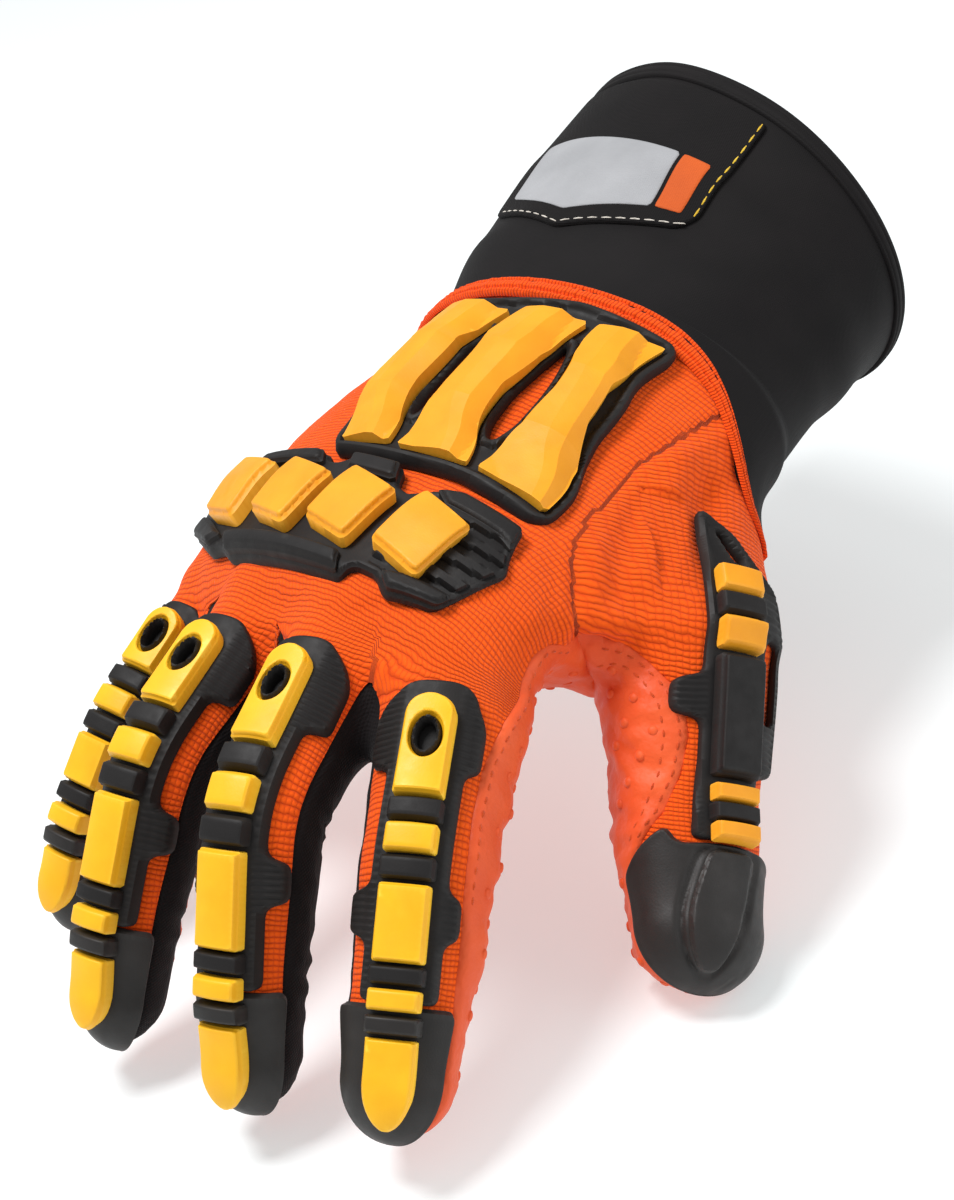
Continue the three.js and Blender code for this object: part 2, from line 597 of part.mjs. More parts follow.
// The guards down the fingers
const WINGS = { index: [10.5, 12.6], middle: [12.4, 12.4], ring: [12.4, 12.4], little: [12.4, 12.4] };
const SPINE = 7.4;
const HALF_PAD = 4.8;
const clearance = hand(GAP, palmRows, PALM_SIDES, DIGIT_SIDES);
const CAP_TURNS = {
  index: [-66, 56], middle: [-66, 66], ring: [-66, 66], little: [-66, 66], thumb: [-90, 100],
};
const capAngles = (name) => {
  const [from, to] = CAP_TURNS[name];
  return [...Array(9).keys()].map((i) => rad(from + (to - from) * i / 8));
};
const OVER_DIGIT = { edge: 7.4, grain: 0.5 };
const BAND_OVERHANG = 0.3;
const band = (place, at, half, low, high, off = 0) => {
  const wide = HALF_PAD + BAND_OVERHANG;
  const outline = strip([[at - half, wide + off, wide - off], [at + half, wide + off, wide - off]]);
  return patch(place, outline, low, high, { narrow: 0.92, edge: 7 });
};
for (const name of ['index', 'middle', 'ring', 'little']) {
  const d = digits[name];
  const place = onDigit(d);
  const [, second, last] = d.joints;
  const size = d.bones[0] / 46;
  const slim = name === 'little' ? 0.85 : 1;
  const start = 15.5 * size;
  const [right, left] = WINGS[name];
  const rows = [[start, 4.5, 4.5], [start + 2, 7.5, 7.5], [start + 4.5, right - 2, left - 2],
    [start + 8, right, left], [second - 14, right, left], [second - 12.5, SPINE, SPINE],
    [second + 7, SPINE, SPINE], [second + 8.5, right, left], [second + 15.5, right, left],
    [second + 17, SPINE, SPINE], [last + 0.6, SPINE, SPINE]].map(([s, a, b]) => [s, a * slim, b * slim]);
  const base = unite([
    patch(place, strip(rows), SEAT, BASE_TOP, OVER_DIGIT),
    ...[second - 4.2, second + 4.2, last - 4.2].map((s) => band(place, s, 1.6, BASE_TOP - 0.5, BAND_TOP)),
  ]);
  addNode(`${name}_guard`, base.subtract(clearance), blackRubber);
  const pad = (outline, holes = []) => (
    patch(place, outline, PAD_LOW, PAD_TOP, { holes, narrow: 0.9, edge: 7, grain: 0.4 }));
  const padStart = 19.6 * size;
  const hole = ellipse(0, padStart + 8.8 * size, 2.9, 4.3);
  addNode(`${name}_knuckle_pad`, pad(roundedStrip(padStart, second - 7, HALF_PAD, true, false), [hole]),
    yellowRubber);
  addNode(`${name}_middle_band`, band(place, second, 1.9, PAD_LOW, PAD_TOP), yellowRubber);
  const middlePad = pad(strip([[second + 7.2, HALF_PAD], [last - 6.6, HALF_PAD]]));
  addNode(`${name}_middle_pad`, middlePad, yellowRubber);
  const capFrom = last + 1.1;
  const capTop = GAP + CAP_WALL;
  const capShell = sheetSolid(d, digitStations(d, capFrom, d.tip), capAngles(name), GAP, capTop);
  const capBand = band(place, last + 4.6, 1.6, capTop - 0.5, BAND_TOP);
  addNode(`${name}_tip_cap`, capShell.add(capBand), greyRubber);
  addNode(`${name}_last_band`, band(place, last + 0.2, 1.8, PAD_LOW, PAD_TOP), yellowRubber);
  const tipOutline = roundedStrip(last + 7, last + 19 * size ** 0.5, HALF_PAD - 0.2, false, true);
  const tipPad = patch(place, tipOutline, capTop + 0.6, PAD_TOP - 1, { narrow: 0.84, edge: 6 });
  addNode(`${name}_tip_pad`, tipPad, yellowRubber);
}

// The guard down the thumb, whose raised bands lie THUMB_LINE to the right of its middle
const THUMB_LINE = 2;
{
  const d = digits.thumb;
  const place = onDigit(d);
  const rows = [[-20, 1, 1], [-16, 3, 3], [-9, 8.5, 4.4], [-6.5, 16, 4.4], [9.5, 16, 4.6], [11, 16, 11],
    [17.5, 16, 11], [19, 16, 4.8], [27.5, 16, 4.8], [29, 8.5, 5], [45, 8, 6]];
  const sideWindow = [[9.6, 2], [13.4, 2.5], [13.4, 17.5], [9.6, 18]];
  const slot = ellipse(1.2, -12.6, 1.7, 3.6);
  const low = BASE_TOP - 0.5;
  const ridgeOutline = strip([[6.5, 7, 3], [30.5, 7, 3]]);
  const ridge = patch(place, ridgeOutline, low, PAD_TOP + 0.6, { narrow: 0.76, edge: 7, grain: 0.4 });
  addNode('thumb_guard', unite([
    patch(place, strip(rows), SEAT, BASE_TOP, { ...OVER_DIGIT, holes: [slot, sideWindow] }),
    band(place, -0.8, 1.5, low, BAND_TOP, THUMB_LINE),
    band(place, 39.2, 2.2, low, BAND_TOP, THUMB_LINE),
    ridge,
  ]).subtract(clearance), blackRubber);
  [-4.6, 3.2, 34.4, 44].forEach((s, i) => {
    addNode(`thumb_band_${i + 1}`, band(place, s, 2, PAD_LOW, PAD_TOP, THUMB_LINE), yellowRubber);
  });
  const capFrom = 45.6;
  const capTop = GAP + CAP_WALL;
  const padOutline = strip([[47.8, 6, 3.4], [59, 2.2, 8], [63.7, -0.3, 8.2], [65.8, -2.4, 6]]);
  const pad = patch(place, padOutline, capTop - 0.5, capTop + 1.1, { narrow: 0.8 });
  const capShell = sheetSolid(d, digitStations(d, capFrom, d.tip), capAngles('thumb'), GAP + 0.3, capTop + 0.2);
  addNode('thumb_tip_cap', capShell.add(pad), greyRubber);
}

export default glove;
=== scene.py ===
"""Impact glove for a right hand: fabric, leather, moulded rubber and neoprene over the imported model."""
import math

import bpy
import bmesh
import numpy as np
from mathutils import Matrix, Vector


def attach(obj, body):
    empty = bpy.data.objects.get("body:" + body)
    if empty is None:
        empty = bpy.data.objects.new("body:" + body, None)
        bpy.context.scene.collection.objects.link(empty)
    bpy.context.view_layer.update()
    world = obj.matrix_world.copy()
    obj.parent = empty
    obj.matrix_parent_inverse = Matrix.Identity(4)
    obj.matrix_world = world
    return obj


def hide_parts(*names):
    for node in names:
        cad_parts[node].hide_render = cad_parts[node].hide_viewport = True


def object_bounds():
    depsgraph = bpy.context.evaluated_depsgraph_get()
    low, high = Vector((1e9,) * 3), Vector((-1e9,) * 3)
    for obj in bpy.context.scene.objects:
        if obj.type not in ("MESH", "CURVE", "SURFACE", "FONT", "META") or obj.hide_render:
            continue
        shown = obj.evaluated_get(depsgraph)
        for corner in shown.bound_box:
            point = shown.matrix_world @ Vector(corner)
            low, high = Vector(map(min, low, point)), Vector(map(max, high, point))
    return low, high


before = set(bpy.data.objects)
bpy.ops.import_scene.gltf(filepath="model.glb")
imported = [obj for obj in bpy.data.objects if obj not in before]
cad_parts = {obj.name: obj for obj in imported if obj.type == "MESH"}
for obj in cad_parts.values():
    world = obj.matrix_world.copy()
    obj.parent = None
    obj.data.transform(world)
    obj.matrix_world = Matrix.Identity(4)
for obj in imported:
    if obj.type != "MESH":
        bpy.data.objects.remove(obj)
cad_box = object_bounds()

# Layers over the glove's surface, in millimetres
WALL = 1.8
CUFF_WALL = 2.8
SEAT = 0.45
BASE_TOP = 2.2
PAD_LOW = 2.3
PAD_TOP = 5.6
BAND_TOP = 5.3
CAP_WALL = 1.4
TIP_LENGTH = 11
JOINT_ROUNDING = 9
ROOT_TAPER = -6
PALM_PITCH = 7.9
PALM_ROLL = 6.9

# Digits in the hand's frame: fingers along -y, the thumb's side +x, the back of the hand +z
DIGITS = {
    "index": dict(
        knuckle=(22.9, -98.4, 4.1), pitch=0, spread=21.4, twist=5.3, bones=(46.5, 27.2, 25),
        bends=(18, 18, 2.4), half_width=(15, 12.6, 11.6, 10.2), back=(13.2, 11.2, 10, 8.6),
        belly=(14.5, 12, 10.8, 9.4), root=-26,
    ),
    "middle": dict(
        knuckle=(-0.5, -98.3, 3.3), pitch=0, spread=7.4, twist=-7.4, bones=(49.4, 31.4, 26),
        bends=(8.3, 39.2, 7.6), half_width=(13.2, 11.4, 10.5, 9.2), back=(13.2, 11.2, 9.8, 8.2),
        belly=(14.5, 11.8, 10.4, 9.2), root=-26,
    ),
    "ring": dict(
        knuckle=(-25.2, -94.6, -3.6), pitch=0, spread=-1.2, twist=-6.2, bones=(46.2, 30.4, 26.5),
        bends=(8.7, 34.1, 7.9), half_width=(13.2, 11, 9.8, 8.6), back=(12.8, 10.6, 9.2, 7.8),
        belly=(14, 11.4, 10, 8.8), root=-26,
    ),
    "little": dict(
        knuckle=(-51, -83.7, -17.6), pitch=0, spread=-5.8, twist=-0.4, bones=(36.9, 23.5, 24),
        bends=(15.5, 20.7, 11.8), half_width=(12.2, 9.8, 8.8, 7.8), back=(11.8, 9.4, 8.4, 7),
        belly=(13, 10.4, 9.2, 8.2), root=-22,
    ),
    "thumb": dict(
        knuckle=(51.9, -63.1, -18.3), pitch=13.6, spread=36.9, twist=32.9, bones=(38.6, 32.6),
        bends=(19.5, -8.6), half_width=(18.6, 15, 12.4), back=(15.6, 12.6, 10.6),
        belly=(17.5, 14.4, 12), root=-44,
    ),
}
# Sections: y, x, z, yaw, roll, half width, back, belly
PALM = [
    (-9, 3.2, -1, 0, 0, 47, 28.5, 29),
    (-30, -0.5, -1.5, -2, 4, 49.5, 26.5, 26.5),
    (-58, -9, -4, -6, 10, 52.5, 24, 23),
    (-82, -14, -6, -10, 15, 54.5, 23.5, 20),
    (-98, -13.5, -7, -11, 16, 51.5, 22.5, 18),
    (-110, -10.5, -8, -11, 16, 41, 17, 14),
    (-117, -9, -9.5, -11, 16, 30, 8, 7),
]
CUFF = [
    (-8.7, 3.2, -1, 0, 0, 47, 28.5, 29),
    (12, 1, 0, -4, 0, 50, 31, 31),
    (34, 1, 1, -10, 0, 52, 35.5, 35.5),
    (61, 2.5, 2, -18, 0, 53.5, 39.5, 40),
]
# Soft dents: along, turn from the back, depth, length, spread
PALM_DENTS = [
    (-44, 62, 2.2, 16, 22), (-27, 150, 2.5, 8, 40), (-92, -28, 0.9, 8, 14), (-28, -80, 1.6, 8, 35),
]
CUFF_DENTS = [
    (6, 70, 1.8, 12, 28), (26, 20, 1.2, 14, 26), (30, -120, 2.4, 18, 30), (22, 170, 2.6, 18, 30),
]
STRETCH_ROUNDS = [((28, -22, -3), 17), ((30, -48, 0), 15), ((27, -72, 2), 14)]
STRETCH_THUMB = (-36, -18, 1)
STRETCH_INDEX = -1


def turn(axis, degrees):
    return np.array(Matrix.Rotation(math.radians(degrees), 3, axis))


ROW_TURN = turn("Y", PALM_ROLL) @ turn("X", PALM_PITCH)


def smooth(value, low, high):
    """0 below low, 1 above high, eased between."""
    share = np.clip((np.asarray(value, float) - low) / (high - low), 0, 1)
    return share * share * (3 - 2 * share)


def size_at(stations, sizes, s):
    """Sizes at stations, eased between them."""
    s = np.asarray(s, float)
    result = np.full(s.shape, float(sizes[0]))
    for i in range(1, len(stations)):
        result = result + (sizes[i] - sizes[i - 1]) * smooth(s, stations[i - 1], stations[i])
    return result


class Digit:
    """A finger or the thumb: an elliptical tube round a bent line, closed like an egg at its tip."""

    def __init__(self, knuckle, pitch, spread, twist, bones, bends, half_width, back, belly, root):
        self.joints = list(np.concatenate([[0], np.cumsum(bones)[:-1]]))
        self.tip = float(sum(bones))
        self.tip_start = self.tip - TIP_LENGTH
        self.root = root
        self.bends = bends
        self.knuckle = np.array(knuckle, float)
        self.start = turn("Z", spread) @ turn("X", pitch) @ turn("Y", twist)
        self.stations = [*self.joints, self.tip_start]
        self.widths = half_width
        self.backs = back
        self.bellies = belly
        self.steps = np.arange(root - 8, self.tip + 14, 0.25)
        middles = (self.steps[1:] + self.steps[:-1]) / 2
        bend = np.radians(self.bend(middles))
        run = np.stack([-np.cos(bend), -np.sin(bend)], 1) * 0.25
        line = np.concatenate([[[0, 0]], np.cumsum(run, 0)])
        zero = np.stack([np.interp(0, self.steps, line[:, 0]), np.interp(0, self.steps, line[:, 1])])
        self.line = line - zero

    def bend(self, s):
        return sum(
            bend * smooth(s, joint - JOINT_ROUNDING, joint + JOINT_ROUNDING)
            for bend, joint in zip(self.bends, self.joints)
        )

    def centre(self, s):
        return np.stack([np.interp(s, self.steps, self.line[:, axis]) for axis in (0, 1)], -1)

    def radius(self, s):
        return (size_at(self.stations, self.widths, s) + size_at(self.stations, self.backs, s)) / 2

    def shrink(self, s):
        root = np.clip((ROOT_TAPER - s) / (ROOT_TAPER - self.root), 0, 1)
        return 1 - 0.4 * root * root

    def point(self, s, around, h):
        s, around, h = np.broadcast_arrays(*(np.asarray(v, float) for v in (s, around, h)))
        closing = np.clip((s - self.tip_start) / TIP_LENGTH, 0, 1) * math.pi / 2
        along = np.where(s <= self.tip_start, s, self.tip_start + (TIP_LENGTH + h) * np.sin(closing))
        shrink = np.cos(closing) * self.shrink(s)
        side = (size_at(self.stations, self.widths, along) + h) * shrink * np.sin(around)
        sizes = np.where(
            np.cos(around) > 0,
            size_at(self.stations, self.backs, along),
            size_at(self.stations, self.bellies, along),
        )
        up = (sizes + h) * shrink * np.cos(around)
        bend = np.radians(self.bend(along))
        middle = self.centre(along)
        local = np.stack([side, middle[..., 0] - np.sin(bend) * up, middle[..., 1] + np.cos(bend) * up], -1)
        return local @ self.start.T + self.knuckle

    def place(self, across, along, h):
        return self.point(along, across / (self.radius(along) + h), h)

    def locate(self, points):
        """Distance along, turn round and height over the surface of points."""
        local = (points - self.knuckle) @ self.start
        flat = local[:, 1:]
        samples = self.steps[::2]
        line = self.line[::2]
        s = np.empty(len(points))
        for first in range(0, len(points), 20000):
            part = flat[first:first + 20000]
            far = (part[:, None, 0] - line[None, :, 0]) ** 2 + (part[:, None, 1] - line[None, :, 1]) ** 2
            s[first:first + 20000] = samples[far.argmin(1)]
        for _ in range(2):
            bend = np.radians(self.bend(s))
            off = flat - self.centre(s)
            s = s + np.clip(-off[:, 0] * np.cos(bend) - off[:, 1] * np.sin(bend), -0.5, 0.5)
        bend = np.radians(self.bend(s))
        off = flat - self.centre(s)
        up = -off[:, 0] * np.sin(bend) + off[:, 1] * np.cos(bend)
        shrink = self.shrink(s)
        wide = size_at(self.stations, self.widths, s) * shrink
        tall = np.where(
            up > 0, size_at(self.stations, self.backs, s), size_at(self.stations, self.bellies, s)
        ) * shrink
        beyond = np.maximum(0, s - self.tip_start) / TIP_LENGTH
        before = np.maximum(0, self.root - s) / 6
        share = np.sqrt((local[:, 0] / wide) ** 2 + (up / tall) ** 2 + beyond ** 2 + before ** 2) + 1e-9
        slope = np.sqrt(
            (local[:, 0] / wide ** 2) ** 2 + (up / tall ** 2) ** 2
            + (beyond / TIP_LENGTH) ** 2 + (before / 6) ** 2
        ) + 1e-9
        height = share * (share - 1) / slope
        return s, np.arctan2(local[:, 0] / wide, up / tall), height


class Tube:
    """The palm or the cuff: elliptical sections along the hand, with soft dents."""

    def __init__(self, rows, dents):
        self.rows = np.array(sorted(rows, key=lambda row: -row[0]), float)
        self.dents = dents
        self.stations = -self.rows[:, 0]
        self.ends = (self.rows[-1, 0], self.rows[0, 0])
        self.ys = np.arange(self.ends[0] - 3, self.ends[1] + 3.01, 1.0)
        angles = np.linspace(-math.pi, math.pi, 193)
        grid = self.point(self.ys[:, None], angles[None, :], 0)
        step = np.linalg.norm(np.diff(grid, axis=1), axis=-1)
        travelled = np.concatenate([np.zeros((len(self.ys), 1)), np.cumsum(step, 1)], 1)
        travelled -= travelled[:, 96:97]
        self.arcs = np.linspace(-170, 170, 341)
        self.turns = np.stack([np.interp(self.arcs, row, angles) for row in travelled])
        self.angles = angles
        self.travelled = travelled

    def at(self, y, column):
        return size_at(self.stations, self.rows[:, column], -np.asarray(y, float))

    def dent(self, along, around):
        depth = 0
        for where, angle, deep, length, spread in self.dents:
            off = around - math.radians(angle)
            off = np.arctan2(np.sin(off), np.cos(off))
            along_share = (along - where) / length
            depth = depth + deep * np.exp(-(along_share ** 2) - (off / math.radians(spread)) ** 2)
        return depth

    def axes(self, y):
        yaw = np.radians(self.at(y, 3))
        roll = np.radians(self.at(y, 4))
        zero = np.zeros_like(yaw)
        x_axis = np.stack([np.cos(yaw) * np.cos(roll), np.sin(yaw) * np.cos(roll), np.sin(roll)], -1)
        z_axis = np.stack([-np.cos(yaw) * np.sin(roll), -np.sin(yaw) * np.sin(roll), np.cos(roll)], -1)
        return x_axis, np.stack([-np.sin(yaw), np.cos(yaw), zero], -1), z_axis

    def point(self, y, around, h):
        y, around, h = np.broadcast_arrays(*(np.asarray(v, float) for v in (y, around, h)))
        out = h - self.dent(y, around)
        side = (self.at(y, 5) + out) * np.sin(around)
        up = (np.where(np.cos(around) > 0, self.at(y, 6), self.at(y, 7)) + out) * np.cos(around)
        x_axis, _, z_axis = self.axes(y)
        middle = np.stack([self.at(y, 1), y, self.at(y, 2)], -1)
        return middle + x_axis * side[..., None] + z_axis * up[..., None]

    def table(self, y, value, lookup, values):
        """A value from a table with a row for each y, between its rows and columns."""
        row = np.clip(y - self.ys[0], 0, len(self.ys) - 1.001)
        column = np.clip((value - values[0]) / (values[1] - values[0]), 0, len(values) - 1.001)
        r, c = row.astype(int), column.astype(int)
        fr, fc = row - r, column - c
        return (
            lookup[r, c] * (1 - fr) * (1 - fc) + lookup[r + 1, c] * fr * (1 - fc)
            + lookup[r, c + 1] * (1 - fr) * fc + lookup[r + 1, c + 1] * fr * fc
        )

    def place(self, arc, y, h):
        arc, y, h = np.broadcast_arrays(*(np.asarray(v, float) for v in (arc, y, h)))
        return self.point(y, self.table(y, arc, self.turns, self.arcs), h)

    def arc(self, y, around):
        return self.table(y, around, self.travelled, self.angles)

    def locate(self, points, spare=0):
        """The y, turn and height over the surface of points."""
        y = np.clip(points[:, 1], self.ends[0] - 20, self.ends[1] + spare)
        for _ in range(7):
            middle = np.stack([self.at(y, 1), y, self.at(y, 2)], -1)
            _, y_axis, _ = self.axes(y)
            y = y + np.clip(((points - middle) * y_axis).sum(1), -6, 6) * 0.85
            y = np.clip(y, self.ends[0] - 20, self.ends[1] + 20)
        x_axis, _, z_axis = self.axes(y)
        off = points - np.stack([self.at(y, 1), y, self.at(y, 2)], -1)
        side = (off * x_axis).sum(1)
        up = (off * z_axis).sum(1)
        wide = self.at(y, 5)
        tall = np.where(up > 0, self.at(y, 6), self.at(y, 7))
        beyond = np.maximum(0, self.ends[0] - y) / 6
        share = np.sqrt((side / wide) ** 2 + (up / tall) ** 2 + beyond ** 2) + 1e-9
        slope = np.sqrt((side / wide ** 2) ** 2 + (up / tall ** 2) ** 2 + (beyond / 6) ** 2) + 1e-9
        around = np.arctan2(side / wide, up / tall)
        return y, around, share * (share - 1) / slope + self.dent(y, around)


digits = {name: Digit(**spec) for name, spec in DIGITS.items()}
palm = Tube(PALM, PALM_DENTS)
cuff = Tube(CUFF, CUFF_DENTS)


# Mesh tools

def cut_faces(faces, values, wanted=True):
    """Faces crossed by the zero line of values: their corners, the lone one first, and the cut edges."""
    inside = values > 0
    count = inside[faces].sum(1)
    mixed = ((count == 1) | (count == 2)) & wanted
    cut = faces[mixed]
    alone = (inside[cut] == (count[mixed] == 1)[:, None]).argmax(1)
    rows = np.arange(len(cut))
    a, b, c = (cut[rows, (alone + step) % 3] for step in range(3))
    edges = np.sort(np.concatenate([np.stack([a, b], 1), np.stack([a, c], 1)]), 1)
    unique, inverse = np.unique(edges, axis=0, return_inverse=True)
    low, high = values[unique[:, 0]], values[unique[:, 1]]
    share = (low / (low - high))[:, None]
    return mixed, (a, b, c), unique, inverse.reshape(-1), share


def split(data, faces, field):
    """Splits triangles along the zero line of a field. Rows of data are vertices and what they carry."""
    mixed, (a, b, c), unique, inverse, share = cut_faces(faces, field)
    if not mixed.any():
        return data, faces, field
    fresh = data[unique[:, 0]] * (1 - share) + data[unique[:, 1]] * share
    first = len(data)
    ab = first + inverse[:len(a)]
    ac = first + inverse[len(a):]
    pieces = [
        faces[~mixed], np.stack([a, ab, ac], 1), np.stack([ab, b, c], 1), np.stack([ab, c, ac], 1),
    ]
    return (
        np.concatenate([data, fresh]), np.concatenate(pieces),
        np.concatenate([field, np.zeros(len(fresh))]),
    )


def keep(data, faces, wanted):
    """The faces wanted, with the vertices that they use."""
    faces = faces[wanted]
    used, inverse = np.unique(faces, return_inverse=True)
    return data[used], inverse.reshape(-1, 3)


def rim_edges(faces):
    """The edges that only one face has, in its own direction."""
    edges = np.concatenate([faces[:, [0, 1]], faces[:, [1, 2]], faces[:, [2, 0]]])
    size = int(faces.max()) + 1
    forward = edges[:, 0].astype(np.int64) * size + edges[:, 1]
    backward = edges[:, 1].astype(np.int64) * size + edges[:, 0]
    return edges[~np.isin(forward, backward)]


def close_sheet(top, bottom, faces):
    """A closed solid from a sheet's two sides, which share their faces."""
    count = len(top)
    rim = rim_edges(faces)
    a, b = rim[:, 0], rim[:, 1]
    walls = np.concatenate([np.stack([a, a + count, b], 1), np.stack([b, a + count, b + count], 1)])
    return np.concatenate([top, bottom]), np.concatenate([faces, faces[:, ::-1] + count, walls])


def vertex_normals(points, faces):
    a, b, c = points[faces[:, 0]], points[faces[:, 1]], points[faces[:, 2]]
    normal = np.cross(b - a, c - a)
    total = np.zeros_like(points)
    for column in range(3):
        for axis in range(3):
            total[:, axis] += np.bincount(faces[:, column], normal[:, axis], len(points))
    return total / (np.linalg.norm(total, axis=1, keepdims=True) + 1e-12)


def relax(points, faces, rounds, share=0.5):
    """Laplacian smoothing."""
    edges = np.concatenate([faces[:, [0, 1]], faces[:, [1, 2]], faces[:, [2, 0]]])
    count = sum(np.bincount(edges[:, end], minlength=len(points)) for end in (0, 1))
    for _ in range(rounds):
        total = np.zeros_like(points)
        for axis in range(3):
            total[:, axis] = (
                np.bincount(edges[:, 0], points[edges[:, 1], axis], len(points))
                + np.bincount(edges[:, 1], points[edges[:, 0], axis], len(points))
            )
        points = points + (total / np.maximum(count, 1)[:, None] - points) * share
    return points


def to_row(points):
    return (points @ ROW_TURN.T) * 0.001


made = []


def piece(name, parts, material, nodes, attributes=None, sharp=40):
    """An object from closed parts in the hand's frame, which stands for CAD nodes."""
    offsets = np.cumsum([0] + [len(p) for p, _ in parts])
    points = to_row(np.concatenate([p for p, _ in parts]))
    faces = np.concatenate([f + o for (_, f), o in zip(parts, offsets)]).astype(np.int32)
    a, b, c = (points[faces[:, i]] for i in range(3))
    area = np.linalg.norm(np.cross(b - a, c - a), axis=1)
    faces = faces[area > 1e-14]
    mesh = bpy.data.meshes.new(name)
    mesh.vertices.add(len(points))
    mesh.vertices.foreach_set("co", points.astype(np.float32).ravel())
    mesh.loops.add(len(faces) * 3)
    mesh.loops.foreach_set("vertex_index", faces.ravel())
    mesh.polygons.add(len(faces))
    mesh.polygons.foreach_set("loop_start", np.arange(0, len(faces) * 3, 3, dtype=np.int32))
    mesh.update(calc_edges=True)
    for key, values in (attributes or {}).items():
        layer = mesh.attributes.new(key, "FLOAT_VECTOR", "POINT")
        layer.data.foreach_set("vector", np.asarray(values, np.float32).ravel())
    mesh.polygons.foreach_set("use_smooth", np.ones(len(faces), bool))
    mesh.set_sharp_from_angle(angle=math.radians(sharp))
    mesh.materials.append(material)
    obj = bpy.data.objects.new(name, mesh)
    bpy.context.scene.collection.objects.link(obj)
    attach(obj, "root")
    if nodes:
        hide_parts(*nodes)
    made.append((name, len(faces)))
    return obj


# The glove's fabric surface, found as the zero level of a blended distance on a grid

GRID = 1.25
# How far the forms' edges are rounded into each other, and the room left round a digit
PALM_BLEND = 1
WEB_BLEND = 7
THUMB_BLEND = 7
FINGER_BLEND = 4.5
FORM_SPARE = 7
PALM_SPARE = 16


def blend_min(a, b, reach):
    """The smaller of two distances, rounded where they cross."""
    mix = np.clip(0.5 + 0.5 * (b - a) / reach, 0, 1)
    return b * (1 - mix) + a * mix - reach * mix * (1 - mix)


def hull_planes(points):
    """The outward planes of the convex hull of points."""
    shape = bmesh.new()
    for point in points:
        shape.verts.new(point)
    bmesh.ops.convex_hull(shape, input=shape.verts)
    middle = points.mean(0)
    planes = []
    for face in shape.faces:
        normal = np.array(face.normal)
        corner = np.array(face.verts[0].co)
        if normal @ (corner - middle) < 0:
            normal = -normal
        planes.append([*normal, normal @ corner])
    shape.free()
    return np.array(planes)


def ball_points(middle, radius):
    shape = bmesh.new()
    bmesh.ops.create_icosphere(shape, subdivisions=3, radius=radius)
    points = np.array([vertex.co for vertex in shape.verts]) + middle
    shape.free()
    return points


ring_turns = np.linspace(0, 2 * math.pi, 28, endpoint=False)
stretch_planes = hull_planes(np.concatenate([
    *(ball_points(at, radius) for at, radius in STRETCH_ROUNDS),
    *(digits["thumb"].point(s, ring_turns, 0) for s in STRETCH_THUMB),
    digits["index"].point(STRETCH_INDEX, ring_turns, -1),
]))


def stretch_height(points):
    height = np.full(len(points), -1e9)
    for first in range(0, len(stretch_planes), 64):
        part = stretch_planes[first:first + 64]
        height = np.maximum(height, (points @ part[:, :3].T - part[:, 3]).max(1))
    return height


low_corner = np.array([-78.0, -192.0, -92.0])
grid_shape = (150, 166, 112)
axes = [low_corner[i] + GRID * np.arange(grid_shape[i]) for i in range(3)]
field = np.full(grid_shape, 40.0, np.float32)


def add_form(low, high, height, reach):
    """Blends a form's distance into the field inside a box."""
    spans = []
    for axis in range(3):
        first = max(0, int((low[axis] - low_corner[axis]) / GRID) - 1)
        last = min(grid_shape[axis], int((high[axis] - low_corner[axis]) / GRID) + 2)
        spans.append(slice(first, last))
    mesh = np.meshgrid(*(axes[i][spans[i]] for i in range(3)), indexing="ij")
    points = np.stack([m.ravel() for m in mesh], 1)
    value = height(points).reshape(mesh[0].shape)
    region = tuple(spans)
    field[region] = blend_min(field[region], value, reach)


add_form((-76, -132, -45), (62, 9, 42), lambda p: palm.locate(p, PALM_SPARE)[2], PALM_BLEND)
add_form((-2, -108, -42), (76, 0, 26), stretch_height, WEB_BLEND)
for name, digit in digits.items():
    rings = np.linspace(digit.root, digit.tip, 30)[:, None]
    outline = digit.point(rings, ring_turns[None, :], 0).reshape(-1, 3)
    add_form(
        outline.min(0) - FORM_SPARE, outline.max(0) + FORM_SPARE, lambda p, d=digit: d.locate(p)[2],
        THUMB_BLEND if name == "thumb" else FINGER_BLEND,
    )


